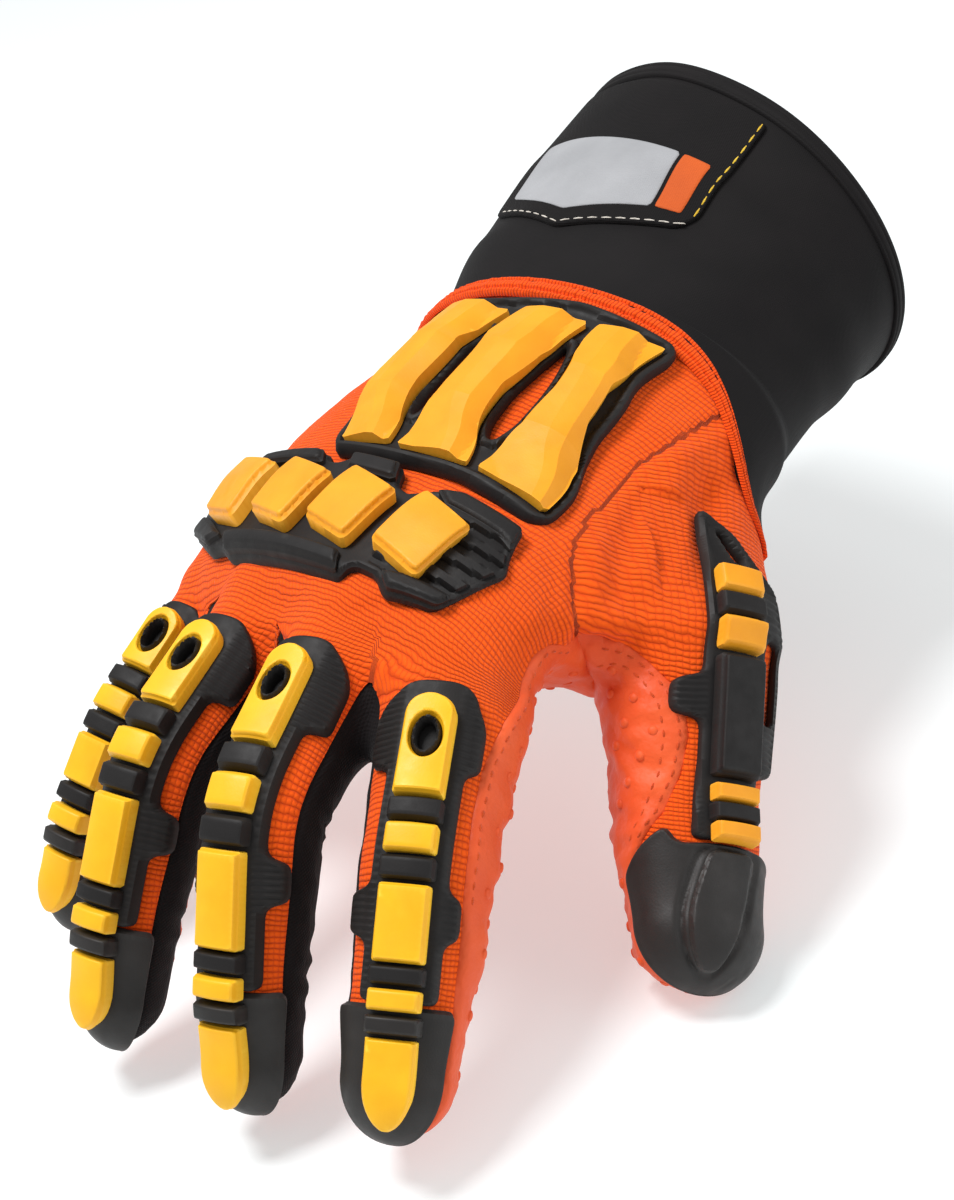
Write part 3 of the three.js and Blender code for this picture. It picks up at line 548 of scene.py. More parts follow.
def surface_net(values):
    """Vertices in cells that the surface crosses, joined by four round each crossed edge."""
    inside = values < 0
    total = np.zeros(tuple(n - 1 for n in values.shape), np.int8)
    for dx in (0, 1):
        for dy in (0, 1):
            for dz in (0, 1):
                total += inside[dx:dx + total.shape[0], dy:dy + total.shape[1], dz:dz + total.shape[2]]
    cells = np.argwhere((total > 0) & (total < 8))
    index = np.full(total.shape, -1, np.int64)
    index[tuple(cells.T)] = np.arange(len(cells))
    places = np.zeros((len(cells), 3))
    crossings = np.zeros(len(cells))
    corners = np.array([(i, j, k) for i in (0, 1) for j in (0, 1) for k in (0, 1)])
    for a in corners:
        for axis in range(3):
            if a[axis]:
                continue
            b = a.copy()
            b[axis] = 1
            va = values[tuple((cells + a).T)]
            vb = values[tuple((cells + b).T)]
            crossed = (va < 0) != (vb < 0)
            share = np.where(crossed, va / np.where(crossed, va - vb, 1), 0)
            spot = a[None, :] + share[:, None] * (b - a)[None, :]
            places += np.where(crossed[:, None], spot, 0)
            crossings += crossed
    places = (cells + places / crossings[:, None]) * GRID + low_corner
    faces = []
    for axis in range(3):
        others = [i for i in range(3) if i != axis]
        here = [slice(None)] * 3
        there = [slice(None)] * 3
        here[axis] = slice(0, -1)
        there[axis] = slice(1, None)
        crossed = inside[tuple(here)] != inside[tuple(there)]
        spots = np.argwhere(crossed)
        good = np.all([(spots[:, i] > 0) & (spots[:, i] < values.shape[i] - 1) for i in others], axis=0)
        spots = spots[good]
        outward = inside[tuple(spots.T)]
        corner = []
        for du, dv in ((0, 0), (1, 0), (1, 1), (0, 1)):
            cell = spots.copy()
            cell[:, others[0]] -= du
            cell[:, others[1]] -= dv
            corner.append(index[tuple(cell.T)])
        quad = np.stack(corner, 1)
        flip = outward if axis != 1 else ~outward
        quad[~flip] = quad[~flip][:, ::-1]
        faces += [quad[:, [0, 1, 2]], quad[:, [0, 2, 3]]]
    return places, np.concatenate(faces)


skin, skin_faces = surface_net(field)


def field_at(points):
    """The field and its slope at points."""
    spot = (points - low_corner) / GRID
    cell = np.clip(spot.astype(int), 0, np.array(grid_shape) - 2)
    share = spot - cell
    value = 0
    slope = np.zeros_like(points)
    for i in (0, 1):
        for j in (0, 1):
            for k in (0, 1):
                corner = field[cell[:, 0] + i, cell[:, 1] + j, cell[:, 2] + k]
                wx = share[:, 0] if i else 1 - share[:, 0]
                wy = share[:, 1] if j else 1 - share[:, 1]
                wz = share[:, 2] if k else 1 - share[:, 2]
                value = value + corner * wx * wy * wz
                slope[:, 0] += corner * (1 if i else -1) * wy * wz
                slope[:, 1] += corner * wx * (1 if j else -1) * wz
                slope[:, 2] += corner * wx * wy * (1 if k else -1)
    return value, slope / GRID


def rise_to_skin(base, out, most=12):
    """How far along their outward directions places reach the blended surface, if they lie inside it."""
    rise = np.zeros(len(base))
    for _ in range(6):
        value, slope = field_at(base + out * rise[:, None])
        rise = np.clip(rise - value / np.maximum((slope * out).sum(1), 0.35), 0, most)
    return rise


for _ in range(3):
    skin = relax(skin, skin_faces, 2)
    value, slope = field_at(skin)
    length = (slope ** 2).sum(1)
    skin = skin - slope * (value / np.maximum(length, 0.2))[:, None]
skin = relax(skin, skin_faces, 2, 0.4)


# Where each point of the skin lies on the palm, the stretched web and the digits

palm_y, palm_turn, palm_height = palm.locate(skin, PALM_SPARE)
web_height = stretch_height(skin)
spots = {name: digit.locate(skin) for name, digit in digits.items()}
names = list(digits)
heights = np.stack([spots[name][2] for name in names])
nearest = heights.argmin(0)


def noise(points, size, seed):
    """Smooth random waves of about a size, from -1 to 1."""
    chance = np.random.default_rng(seed)
    total = 0
    for _ in range(7):
        way = chance.normal(size=3)
        way /= np.linalg.norm(way)
        rate = 2 * math.pi / size * chance.uniform(0.7, 1.4)
        total = total + np.sin(points @ way * rate + chance.uniform(0, 7))
    return total / 4


def line_distance(points, line):
    """The distance of points from a line of places."""
    best = np.full(len(points), 1e9)
    for a, b in zip(line[:-1], line[1:]):
        a, b = np.array(a, float), np.array(b, float)
        share = np.clip(((points - a) @ (b - a)) / ((b - a) @ (b - a)), 0, 1)
        best = np.minimum(best, np.linalg.norm(points - a - share[:, None] * (b - a), axis=1))
    return best


def side_of(points, line):
    """The signed distance in the ground plane from a line, positive on its left."""
    flat = points[:, :2]
    best = np.full(len(points), 1e9)
    signed = np.zeros(len(points))
    for a, b in zip(line[:-1], line[1:]):
        a, b = np.array(a[:2], float), np.array(b[:2], float)
        run = b - a
        share = np.clip(((flat - a) @ run) / (run @ run), 0, 1)
        off = flat - a - share[:, None] * run
        far = np.linalg.norm(off, axis=1)
        side = run[0] * (flat[:, 1] - a[1]) - run[1] * (flat[:, 0] - a[0])
        closer = far < best - 1e-6
        best = np.where(closer, far, best)
        signed = np.where(closer, np.sign(side) * far, signed)
    return signed


# The seam between the back of the hand and the thumb's panel, as x and y
THUMB_SEAM = [
    (50, 12), (45, -16), (40, -34), (36, -48), (35.5, -66), (36.5, -74), (41, -83), (47, -92),
    (55, -105), (66, -130), (75, -150),
]
# Where the leather ends on the digits: distance along, turn from the back
THUMB_LEATHER = (
    [-10, 4.5, 7, 11, 16, 22, 30, 38.5, 47.5, 60],
    [-75, -66, -52, -38, -27, -24, -30, -46, -80, -85],
)
INDEX_LEATHER = ([-4, 3, 13.5, 19.5, 31, 42, 55, 70, 90], [85, 72, 72, 60, 49, 49, 52, 58, 62])
LEATHER = {"middle": (146, 226), "ring": (146, 228), "little": (142, 250)}
SIDES = {"index": [-1], "middle": [1, -1], "ring": [1, -1], "little": [1]}

thumb_side = side_of(skin, THUMB_SEAM)
degrees = {name: np.degrees(spots[name][1]) for name in names}


def wedge(angle, low, high, radius):
    """How far inside a wedge of turns, in millimetres."""
    middle = (low + high) / 2
    off = (angle - middle + 180) % 360 - 180
    return ((high - low) / 2 - np.abs(off)) * math.pi / 180 * radius


fields = {}
for name in names:
    s = spots[name][0]
    angle = degrees[name]
    if name == "thumb":
        low = np.interp(s, *THUMB_LEATHER)
        fields[name] = wedge(angle, 98, 360 + low, 14)
    elif name == "index":
        fields[name] = wedge(angle, np.interp(s, *INDEX_LEATHER), 242, 12)
    else:
        fields[name] = wedge(angle, *LEATHER[name], 11)
web_field = np.maximum(
    skin @ np.array([0.103, -0.523, -0.846]) - 49.4, skin @ np.array([-0.34, 0.1, -0.93]) - 3.2
)
palm_field = wedge(np.degrees(palm_turn), 100, 262, 42)


def nearness(height):
    return np.exp(-(np.maximum(height, -1) / 2.2) ** 2) + 1e-6


weights = {"palm": nearness(palm_height) * smooth(-palm_y, -200, -199) * (1 - smooth(-palm_y, 112, 120))}
weights["web"] = 1.6 * nearness(web_height)
for name in names:
    weights[name] = 3 * nearness(spots[name][2]) * smooth(spots[name][0], -10, 3)
total = sum(weights.values())
leather_field = (
    weights["palm"] * palm_field + weights["web"] * web_field
    + sum(weights[name] * fields[name] for name in names)
) / total

side_field = np.full(len(skin), -9.0)
for name, ways in SIDES.items():
    s = spots[name][0]
    for way in ways:
        low, high = sorted((63 * way, 152 * way))
        inner = np.minimum(wedge(degrees[name], low, high, 11), (s - 6) * 0.9)
        mine = nearest == names.index(name)
        side_field = np.where(mine, np.maximum(side_field, inner), side_field)

# The weave's directions: across and along the hand, the fingers and the thumb
across = palm.arc(palm_y, palm_turn)
along = -palm_y
weave = np.stack([across, along], 1)
for name, digit in digits.items():
    s, angle, height = spots[name]
    root = palm.locate(digit.point(0, 0, 0)[None, :], PALM_SPARE)
    start = np.array([palm.arc(root[0], root[1])[0], -root[0][0]])
    own = np.stack([start[0] + angle * digit.radius(s), start[1] + s], 1)
    if name == "thumb":
        bow = 0.012 * (angle * 14) ** 2
        own = np.stack([angle * 15, s + bow], 1)
        share = smooth(thumb_side, -0.01, 0.01)
    else:
        share = np.where(nearest == names.index(name), smooth(s, 8, 19), 0) * (height < 5)
    weave = weave * (1 - share[:, None]) + own * share[:, None]

# Folds, seams and wrinkles, as heights over the surface
seam_line = [
    (45.3, -16, 10.6), (40.3, -34, 13.6), (34.8, -47.7, 14.4), (35.6, -66.3, 12.9), (36.3, -73.7, 12.4),
    (40.8, -83.9, 7.5), (42, -86, 1.1),
]
BRANCH = [(36.3, -73.7, 12.4), (33, -74.5, 14.5), (29.6, -73.2, 16.6)]
CREASE = [(36.3, -73.7, 12.4), (38.5, -79, 10), (41.5, -85, 3), (43, -84, -2)]
CORNER = [(43, -84, -2), (45, -79, -2), (48, -74, -3)]
# Long soft folds of the fabric: line, height, width
FOLDS = [
    ([(41, -40, 11), (44, -54, 8), (46, -66, 3)], 1.3, 5.0),
    ([(47, -38, 5), (52, -50, 1), (54, -60, -3)], -1.0, 3.5),
    ([(40, -56, 10), (42, -68, 7), (43, -76, 4)], -0.9, 3.0),
    ([(38, -70, 10.5), (43, -78, 5), (48, -80, 0)], 0.9, 3.0),
    ([(50, -20, 3), (50, -34, 4), (46, -44, 7)], -0.7, 4.0),
    ([(24, -74, 18), (30, -82, 15), (36, -92, 10)], 0.8, 4.0),
    ([(8, -103, 20), (0, -106, 18), (-10, -106, 16)], 0.5, 3.0),
    ([(30, -97, 17), (18, -104, 19), (8, -108, 18)], -0.5, 2.5),
    ([(-14, -103, 14), (-24, -104, 11), (-34, -101, 7)], 0.5, 3.0),
    ([(-36, -97, 6), (-44, -94, 1), (-52, -92, -5)], -0.5, 3.0),
]
FOLD_SCALE = 1.5
lift = np.zeros(len(skin))
far = line_distance(skin, seam_line)
lift += -0.5 * np.exp(-(far / 0.9) ** 2) + 0.45 * np.exp(-((far - 3) / 1.8) ** 2)
for line, depth, wide in ((BRANCH, 0.6, 1.0), (CREASE, 1.5, 2.0), (CORNER, 2.6, 3.2)):
    far = line_distance(skin, line)
    lift -= depth * np.exp(-(far / wide) ** 2)
for line, height, wide in FOLDS:
    far = line_distance(skin, line)
    lift += FOLD_SCALE * height * np.exp(-(far / wide) ** 2)
is_leather = smooth(leather_field, -0.5, 0.5)
lift += 0.16 * noise(skin, 16, 3) + 0.07 * noise(skin, 6, 4) * (1 - is_leather)
for name in names:
    s, angle, height = spots[name]
    mine = (nearest == names.index(name)) * smooth(s, 2, 6)
    front = smooth(np.abs(degrees[name]), 60, 130)
    for joint in digits[name].joints[1:]:
        bunch = np.exp(-((s - joint) / 7) ** 2)
        lift += mine * front * bunch * (0.45 * np.sin((s - joint) * 1.05 + 1.4 * np.sin(angle * 2)) - 0.35)
    lift += mine * front * 0.18 * noise(np.stack([s, angle * 9, s * 0], 1), 5, 7)
s, angle, height = spots["index"]
loose = (nearest == names.index("index")) * smooth(s, -6, 6) * (1 - smooth(s, 62, 76))
loose = loose * np.exp(-((degrees["index"] - 98) / 34) ** 2) * is_leather
ripple = np.sin(s * 0.42 + 1.3 * np.sin(s * 0.17)) + 0.5 * np.sin(s * 0.93 + 2)
lift += loose * (1.2 + 0.4 * ripple)
web_only = is_leather * smooth(thumb_side, -14, -4) * (1 - smooth(thumb_side, 14, 24))
lift += web_only * (0.5 * noise(skin, 9, 21) + 0.25 * noise(skin, 5, 22))
lift += is_leather * 0.14 * noise(skin, 4, 23)
palm_only = weights["palm"] / total * is_leather
lift -= 0.5 * palm_only * np.exp(-((np.abs(skin[:, 1] + 62 + 0.25 * skin[:, 0])) / 3) ** 2)
lift += palm_only * 0.35 * noise(skin, 11, 9)
on_back = (np.abs(np.degrees(palm_turn)) < 60) & (palm_height < 2.5)
back_knit = on_back & (is_leather < 0.5)
guarded = (palm_y < -14) & (palm_y > -104) & (np.abs(across) < 50)
lift = np.where(guarded & back_knit, np.minimum(lift, 0.25), lift)

s, angle, height = spots["thumb"]
across_thumb = angle * digits["thumb"].radius(s)
under_guard = (s > -24) & (s < 47) & (across_thumb > -11) & (across_thumb < 12)
under_guard &= nearest == names.index("thumb")
lift = np.where(under_guard, np.minimum(lift, 0.1), lift)

skin_normal = vertex_normals(skin, skin_faces)
raised = skin + skin_normal * lift[:, None]

PANEL_EDGE = 0.8
# Columns of a panel's data: place 0 to 2, outward direction 3 to 5, weave 6 and 7, then its limits
FIRST_LIMIT = 8


def panel(limits):
    """The part of the skin where every field is positive, cut along their zero lines."""
    data = np.concatenate([raised, skin_normal, weave, np.stack(limits, 1)], 1)
    faces = skin_faces
    for i in range(len(limits)):
        value = data[:, FIRST_LIMIT + i].copy()
        data, faces, value = split(data, faces, value)
        inside = value[faces].sum(1) > 0
        data, faces = keep(data, faces, inside)
    return data, faces


def grown(data, faces, swell, tuck=0.55, wall=WALL):
    """A wall from a panel's data, with its edge tucked in."""
    points, normal = data[:, :3], data[:, 3:6]
    normal = normal / np.linalg.norm(normal, axis=1, keepdims=True)
    edge = np.min(data[:, FIRST_LIMIT:], axis=1)
    shape = swell * smooth(edge, 0, 1.0) - tuck * np.exp(-(edge / PANEL_EDGE) ** 2)
    top = points + normal * shape[:, None]
    return close_sheet(top, points - normal * wall, faces)


def contour(values, wanted):
    """Lines on the skin where values cross zero: lists of places and of outward directions."""
    _, (a, _, _), unique, inverse, share = cut_faces(skin_faces, values, wanted[skin_faces].all(1))
    places = raised[unique[:, 0]] * (1 - share) + raised[unique[:, 1]] * share
    ways = skin_normal[unique[:, 0]] * (1 - share) + skin_normal[unique[:, 1]] * share
    links = {}
    for one, two in zip(inverse[:len(a)].tolist(), inverse[len(a):].tolist()):
        links.setdefault(one, []).append(two)
        links.setdefault(two, []).append(one)
    starts = [k for k, v in links.items() if len(v) == 1] + list(links)
    seen = set()
    lines = []
    for start in starts:
        if start in seen:
            continue
        chain = [start]
        seen.add(start)
        while True:
            following = [k for k in links[chain[-1]] if k not in seen]
            if not following:
                break
            chain.append(following[0])
            seen.add(following[0])
        if len(chain) > 14:
            soft = [places[chain], ways[chain]]
            for _ in range(3):
                soft = [np.concatenate([v[:1], (v[:-2] + 2 * v[1:-1] + v[2:]) / 4, v[-1:]]) for v in soft]
            lines.append(soft)
    return lines


STITCH_SIDES = 6
STITCH_RINGS = (0, 0.14, 0.5, 0.86, 1)


def stitches(line, ways, length=2.0, gap=0.8, wide=0.34, tall=0.3, lift=0.0):
    """A row of sewn stitches along a line of places, as one part of closed short tubes."""
    ways = ways / np.linalg.norm(ways, axis=1, keepdims=True)
    travelled = np.concatenate([[0], np.cumsum(np.linalg.norm(np.diff(line, axis=0), axis=1))])
    starts = np.arange(gap / 2, travelled[-1] - length, length + gap)
    rings = np.array(STITCH_RINGS)
    at = starts[:, None] + rings[None, :] * length

    def along(values, where):
        return np.stack([np.interp(where, travelled, values[:, k]) for k in range(3)], -1)

    middle = along(line, at)
    up = along(ways, at)
    run = along(line, at + 0.2) - along(line, at - 0.2)
    run /= np.linalg.norm(run, axis=-1, keepdims=True) + 1e-9
    side = np.cross(up, run)
    swell = np.sqrt(np.clip(1 - (2 * rings - 1) ** 2, 0.06, 1))[None, :, None, None]
    sink = (0.3 * (2 * rings - 1) ** 4)[None, :, None]
    middle = middle + up * (lift - sink)
    turns = np.linspace(0, 2 * math.pi, STITCH_SIDES, endpoint=False)[None, None, :, None]
    rim_points = (
        middle[:, :, None, :] + side[:, :, None, :] * np.cos(turns) * wide * swell
        + up[:, :, None, :] * np.sin(turns) * tall * swell
    )
    n = STITCH_SIDES
    faces = []
    for ring in range(len(rings) - 1):
        for i in range(n):
            a, b = ring * n + i, ring * n + (i + 1) % n
            faces += [(a, b, b + n), (a, b + n, a + n)]
    last = (len(rings) - 1) * n
    for i in range(1, n - 1):
        faces += [(0, i + 1, i), (last, last + i, last + i + 1)]
    count = len(rings) * n
    every = np.array(faces)[None, :, :] + (np.arange(len(starts)) * count)[:, None, None]
    points = rim_points.reshape(-1, 3)
    every = every.reshape(-1, 3)
    if len(every):
        first = points[every[:len(faces)]] - points[:count].mean(0)
        if (np.cross(first[:, 0], first[:, 1]) * first[:, 2]).sum() < 0:
            every = every[:, ::-1]
    return points, every


def domes(places, ways, radius, tall):
    """Low round grips on a surface, as one part of closed domes."""
    ways = ways / np.linalg.norm(ways, axis=1, keepdims=True)
    helper = np.where(np.abs(ways[:, :1]) < 0.8, [[1.0, 0, 0]], [[0, 1.0, 0]])
    side = np.cross(ways, helper)
    side /= np.linalg.norm(side, axis=1, keepdims=True)
    other = np.cross(ways, side)
    turns = np.linspace(0, 2 * math.pi, 10, endpoint=False)
    turns = turns[None, :, None]
    round_way = side[:, None, :] * np.cos(turns) + other[:, None, :] * np.sin(turns)
    rows = [places[:, None, :] + ways[:, None, :] * tall]
    for share, high in ((0.55, 0.82), (0.9, 0.4), (1.0, -0.6)):
        rows.append(places[:, None, :] + round_way * radius * share + ways[:, None, :] * tall * high)
    rows.append(places[:, None, :] - ways[:, None, :] * tall * 0.6)
    points = np.concatenate(rows, 1)
    faces = []
    for i in range(10):
        j = (i + 1) % 10
        faces.append((0, 1 + i, 1 + j))
        for row in (1, 11):
            faces += [(row + i, row + 10 + i, row + 10 + j), (row + i, row + 10 + j, row + j)]
        faces.append((21 + i, 31, 21 + j))
    every = np.array(faces)[None, :, :] + (np.arange(len(places)) * 32)[:, None, None]
    return points.reshape(-1, 3), every.reshape(-1, 3)


wrist = -9.0 - palm_y
regions = {
    "back_knit": (
        ["back_panel", "index_back", "middle_back"], [wrist, -leather_field, -side_field, -thumb_side],
    ),
    "thumb_knit": (["thumb_panel"], [wrist, -leather_field, thumb_side]),
    "palm_leather": (["palm_panel"], [wrist, leather_field, -thumb_side]),
    "thumb_leather_front": (["thumb_leather"], [wrist, leather_field, thumb_side]),
}


# Materials: each is worked out by nodes, from places in metres or from the weave's millimetres


def linear(code):
    """A web colour as linear light."""
    values = [int(code[i:i + 2], 16) / 255 for i in (1, 3, 5)]
    return [v / 12.92 if v <= 0.04045 else ((v + 0.055) / 1.055) ** 2.4 for v in values] + [1.0]


class Paint:
    """A material's node tree with short calls."""

    def __init__(self, name, roughness, sheen=0.0, coat=0.0, specular=0.5):
        self.material = bpy.data.materials.new(name)
        self.material.use_nodes = True
        self.tree = self.material.node_tree
        self.shader = self.tree.nodes["Principled BSDF"]
        self.shader.inputs["Roughness"].default_value = roughness
        self.shader.inputs["Sheen Weight"].default_value = sheen
        self.shader.inputs["Coat Weight"].default_value = coat
        self.shader.inputs["Coat Roughness"].default_value = 0.35
        self.shader.inputs["Specular IOR Level"].default_value = specular
        self.place = self.add("ShaderNodeTexCoord").outputs["Object"]

    def add(self, kind, inputs=None, **settings):
        node = self.tree.nodes.new(kind)
        for key, value in settings.items():
            setattr(node, key, value)
        for key, value in (inputs or {}).items():
            if isinstance(value, bpy.types.NodeSocket):
                self.tree.links.new(value, node.inputs[key])
            else:
                node.inputs[key].default_value = value
        return node

    def math(self, operation, a, b=0.0, c=0.0):
        return self.add("ShaderNodeMath", {0: a, 1: b, 2: c}, operation=operation).outputs[0]

    def noise(self, size, detail=3.0, place=None, rough=0.5):
        node = self.add("ShaderNodeTexNoise", {
            "Vector": place or self.place, "Scale": 1 / size, "Detail": detail, "Roughness": rough,
        })
        return node.outputs["Fac"]

    def mix(self, share, a, b):
        node = self.add("ShaderNodeMix", data_type="RGBA")
        for key, value in (("Factor_Float", share), ("A_Color", a), ("B_Color", b)):
            socket = next(s for s in node.inputs if s.identifier == key)
            if isinstance(value, bpy.types.NodeSocket):
                self.tree.links.new(value, socket)
            else:
                socket.default_value = value
        return next(s for s in node.outputs if s.identifier == "Result_Color")

    def spread(self, value, low, high, first=0.0, last=1.0):
        return self.add("ShaderNodeMapRange", {
            "Value": value, "From Min": low, "From Max": high, "To Min": first, "To Max": last,
        }).outputs[0]

    def colour(self, socket):
        self.tree.links.new(socket, self.shader.inputs["Base Color"])

    def rough(self, socket):
        self.tree.links.new(socket, self.shader.inputs["Roughness"])

    def bump(self, height, depth, strength=1.0, below=None):
        inputs = {"Height": height, "Distance": depth, "Strength": strength}
        if below:
            inputs["Normal"] = below
        normal = self.add("ShaderNodeBump", inputs).outputs[0]
        self.tree.links.new(normal, self.shader.inputs["Normal"])
        return normal


def knit_paint(name, light, dark, rib, block, depth):
    """Rows of small knitted blocks, with painted shade that darkens the low gaps between them."""
    paint = Paint(name, 0.85, sheen=0.06, specular=0.15)
    weave_at = paint.add("ShaderNodeAttribute", attribute_name="weave").outputs["Vector"]
    wander = paint.noise(0.004, 2.0)
    parts = paint.add("ShaderNodeSeparateXYZ", {0: weave_at})
    across = paint.math("MULTIPLY_ADD", wander, 0.9, parts.outputs[0])
    along = paint.math("MULTIPLY_ADD", wander, 1.1, parts.outputs[1])
    row = paint.math("ABSOLUTE", paint.math("SINE", paint.math("MULTIPLY", along, math.pi / rib)))
    stitch = paint.math("ABSOLUTE", paint.math("SINE", paint.math("MULTIPLY", across, math.pi / block)))
    row = paint.math("POWER", row, 0.7)
    stitch = paint.math("POWER", stitch, 0.5)
    height = paint.math("MULTIPLY", row, paint.math("MULTIPLY_ADD", stitch, 0.5, 0.5))
    fuzz = paint.noise(0.00035, 2.0)
    height = paint.math("MULTIPLY_ADD", fuzz, 0.22, height)
    # Painted shade: the colour darkens where the knit is low, between the blocks, and is then varied by a
    # random tone
    shade = paint.spread(height, 0.25, 1.0)
    patches = paint.spread(paint.noise(0.02, 3.0), 0.3, 0.7, 0.82, 1.0)
    shade = paint.math("MULTIPLY", shade, patches)
    paint.colour(paint.mix(shade, linear(dark), linear(light)))
    paint.bump(height, depth)
    return paint.material


def leather_paint(name, light, dark):
    paint = Paint(name, 0.55, sheen=0.04, specular=0.3)
    grain = paint.add(
        "ShaderNodeTexVoronoi", {"Vector": paint.place, "Scale": 1 / 0.0011}, feature="SMOOTH_F1",
    )
    wrinkle = paint.noise(0.0035, 5.0, rough=0.65)
    patches = paint.spread(paint.noise(0.014, 4.0), 0.3, 0.7)
    paint.colour(paint.mix(patches, linear(dark), linear(light)))
    paint.rough(paint.spread(wrinkle, 0.3, 0.7, 0.42, 0.62))
    first = paint.bump(wrinkle, 0.0005, 0.6)
    paint.bump(grain.outputs["Distance"], 0.00012, 0.7, first)
    return paint.material


def cloth_paint(name, light, dark, size, depth, roughness=0.85, sheen=0.2):
    """A fine plain weave."""
    paint = Paint(name, roughness, sheen=sheen, specular=0.18)
    waves = []
    for way in ("X", "Y", "Z"):
        wave = paint.add(
            "ShaderNodeTexWave", {"Vector": paint.place, "Scale": 0.314 / size, "Distortion": 0.6},
            wave_type="BANDS", bands_direction=way,
        )
        waves.append(wave.outputs["Fac"])
    height = paint.math("MULTIPLY", paint.math("ADD", waves[0], waves[1]), 0.5)
    height = paint.math("MULTIPLY_ADD", waves[2], 0.5, height)
    patches = paint.spread(paint.noise(0.012, 4.0), 0.3, 0.7)
    paint.colour(paint.mix(patches, linear(dark), linear(light)))
    paint.bump(height, depth)
    return paint.material


def rubber_paint(name, light, dark, roughness, grain=0.00004, coat=0.0, painted_edge_highlight=None):
    """Moulded rubber with a fine grain, faint mottling and a painted highlight that makes its sharp edges
    paler.
    """
    paint = Paint(name, roughness, coat=coat, specular=0.3)
    patches = paint.spread(paint.noise(0.009, 4.0), 0.3, 0.7)
    base = paint.mix(patches, linear(dark), linear(light))
    if painted_edge_highlight:
        # Painted highlight: where the surface is sharp and outward, the colour is mixed towards a paler one
        edge = paint.add("ShaderNodeNewGeometry").outputs["Pointiness"]
        edge = paint.spread(edge, 0.52, 0.6)
        base = paint.mix(edge, base, linear(painted_edge_highlight))
    paint.colour(base)
    paint.rough(paint.spread(paint.noise(0.003, 4.0), 0.3, 0.7, roughness - 0.07, roughness + 0.07))
    first = paint.bump(paint.noise(0.0004, 3.0), grain, 0.8)
    paint.bump(paint.noise(0.006, 2.0), 0.0002, 0.5, first)
    return paint.material


# Each knit's paler colour is for the blocks' tops, and its darker one is painted shade for the gaps between
# them
ORANGE_KNIT = knit_paint("orange_knit", "#F95E10", "#D0420A", 1.08, 1.15, 0.0003)
HEM_KNIT = knit_paint("hem_knit", "#F9580E", "#C23606", 0.8, 0.8, 0.0002)
LEATHER_PAINT = leather_paint("orange_leather", "#E85E2C", "#DA4E20")
DARK_LINING = cloth_paint("dark_lining", "#161112", "#0E0A0B", 0.0006, 0.0001, 0.85, 0.04)
NEOPRENE = cloth_paint("neoprene", "#120F10", "#0D0B0C", 0.0004, 0.00003, 0.75, 0.01)
PATCH_CLOTH = cloth_paint("patch_cloth", "#100D0E", "#0B090A", 0.0005, 0.00008, 0.8, 0.01)
LABEL_GREY = cloth_paint("label_grey", "#A2A3A6", "#96979A", 0.0005, 0.00004, 0.7, 0.0)
LABEL_ORANGE = cloth_paint("label_orange", "#CC5C26", "#BC5220", 0.0005, 0.00004, 0.7, 0.0)
# The last colour of each rubber is a painted highlight for its sharp edges
BLACK_RUBBER = rubber_paint("black_rubber", "#171414", "#110F0F", 0.6, painted_edge_highlight="#22201F")
GREY_RUBBER = rubber_paint("grey_rubber", "#2A2726", "#211F1E", 0.5, painted_edge_highlight="#343230")
AMBER_RUBBER = rubber_paint("amber_rubber", "#F0A01C", "#E69414", 0.48, painted_edge_highlight="#F6AE30")
LEMON_RUBBER = rubber_paint("lemon_rubber", "#FABC1C", "#F2AE16", 0.45, painted_edge_highlight="#FFCA38")
ORANGE_THREAD = cloth_paint("orange_thread", "#DA5420", "#C44214", 0.0003, 0.0001)
YELLOW_THREAD = cloth_paint("yellow_thread", "#E8C23A", "#D2A828", 0.0003, 0.0001)
WHITE_THREAD = cloth_paint("white_thread", "#E6E0D6", "#CFC8BC", 0.0003, 0.0001)


# Panels of the hand

pair = np.zeros(len(skin))
for name, first, second in (("index", 0, 0), ("middle", 0, 1), ("ring", 1, 2), ("little", 2, 2)):
    mine = nearest == names.index(name)
    pair = np.where(mine, np.where(spots[name][1] > 0, first, second), pair)


def weave_of(data):
    """The weave's places for both sides of a panel."""
    flat = np.concatenate([data[:, 6:FIRST_LIMIT], np.zeros((len(data), 1))], 1)
    return np.concatenate([flat, flat])


# How far the leather stands out over the knit, and how deep each kind's edges are tucked
LEATHER_SWELL = 0.6
LEATHER_TUCK = 0.35
KNIT_TUCK = 0.12
panel_paint = {
    "back_knit": (ORANGE_KNIT, "orange_knit", 0.0), "thumb_knit": (ORANGE_KNIT, "orange_knit", 0.15),
    "palm_leather": (LEATHER_PAINT, "orange_leather", LEATHER_SWELL),
    "thumb_leather_front": (LEATHER_PAINT, "orange_leather", LEATHER_SWELL),
}
# Grips on the leather: the grid's steps, the least distance apart, radius and height
GRIP_ACROSS = 6.6
GRIP_ALONG = 5.8
GRIP_APART = 4.6
GRIP_RADIUS = 1.15
GRIP_HEIGHT = 0.5


def grip_places():
    """The skin's vertices nearest to a staggered grid of grips on the leather."""
    row = np.round(weave[:, 1] / GRIP_ALONG)
    shift = (row % 2) * 0.5
    column = np.round(weave[:, 0] / GRIP_ACROSS - shift)
    off = np.hypot(weave[:, 0] - (column + shift) * GRIP_ACROSS, weave[:, 1] - row * GRIP_ALONG)
    near_join = np.abs(thumb_side) < 3
    good = np.flatnonzero((leather_field > 5.6) & (off < 1.0) & (palm_y < -24) & ~near_join)
    order = good[np.argsort(off[good], kind="stable")]
    kept = []
    for vertex in order:
        if all(np.sum((skin[vertex] - skin[other]) ** 2) > GRIP_APART ** 2 for other in kept):
            kept.append(int(vertex))
    return np.array(kept)


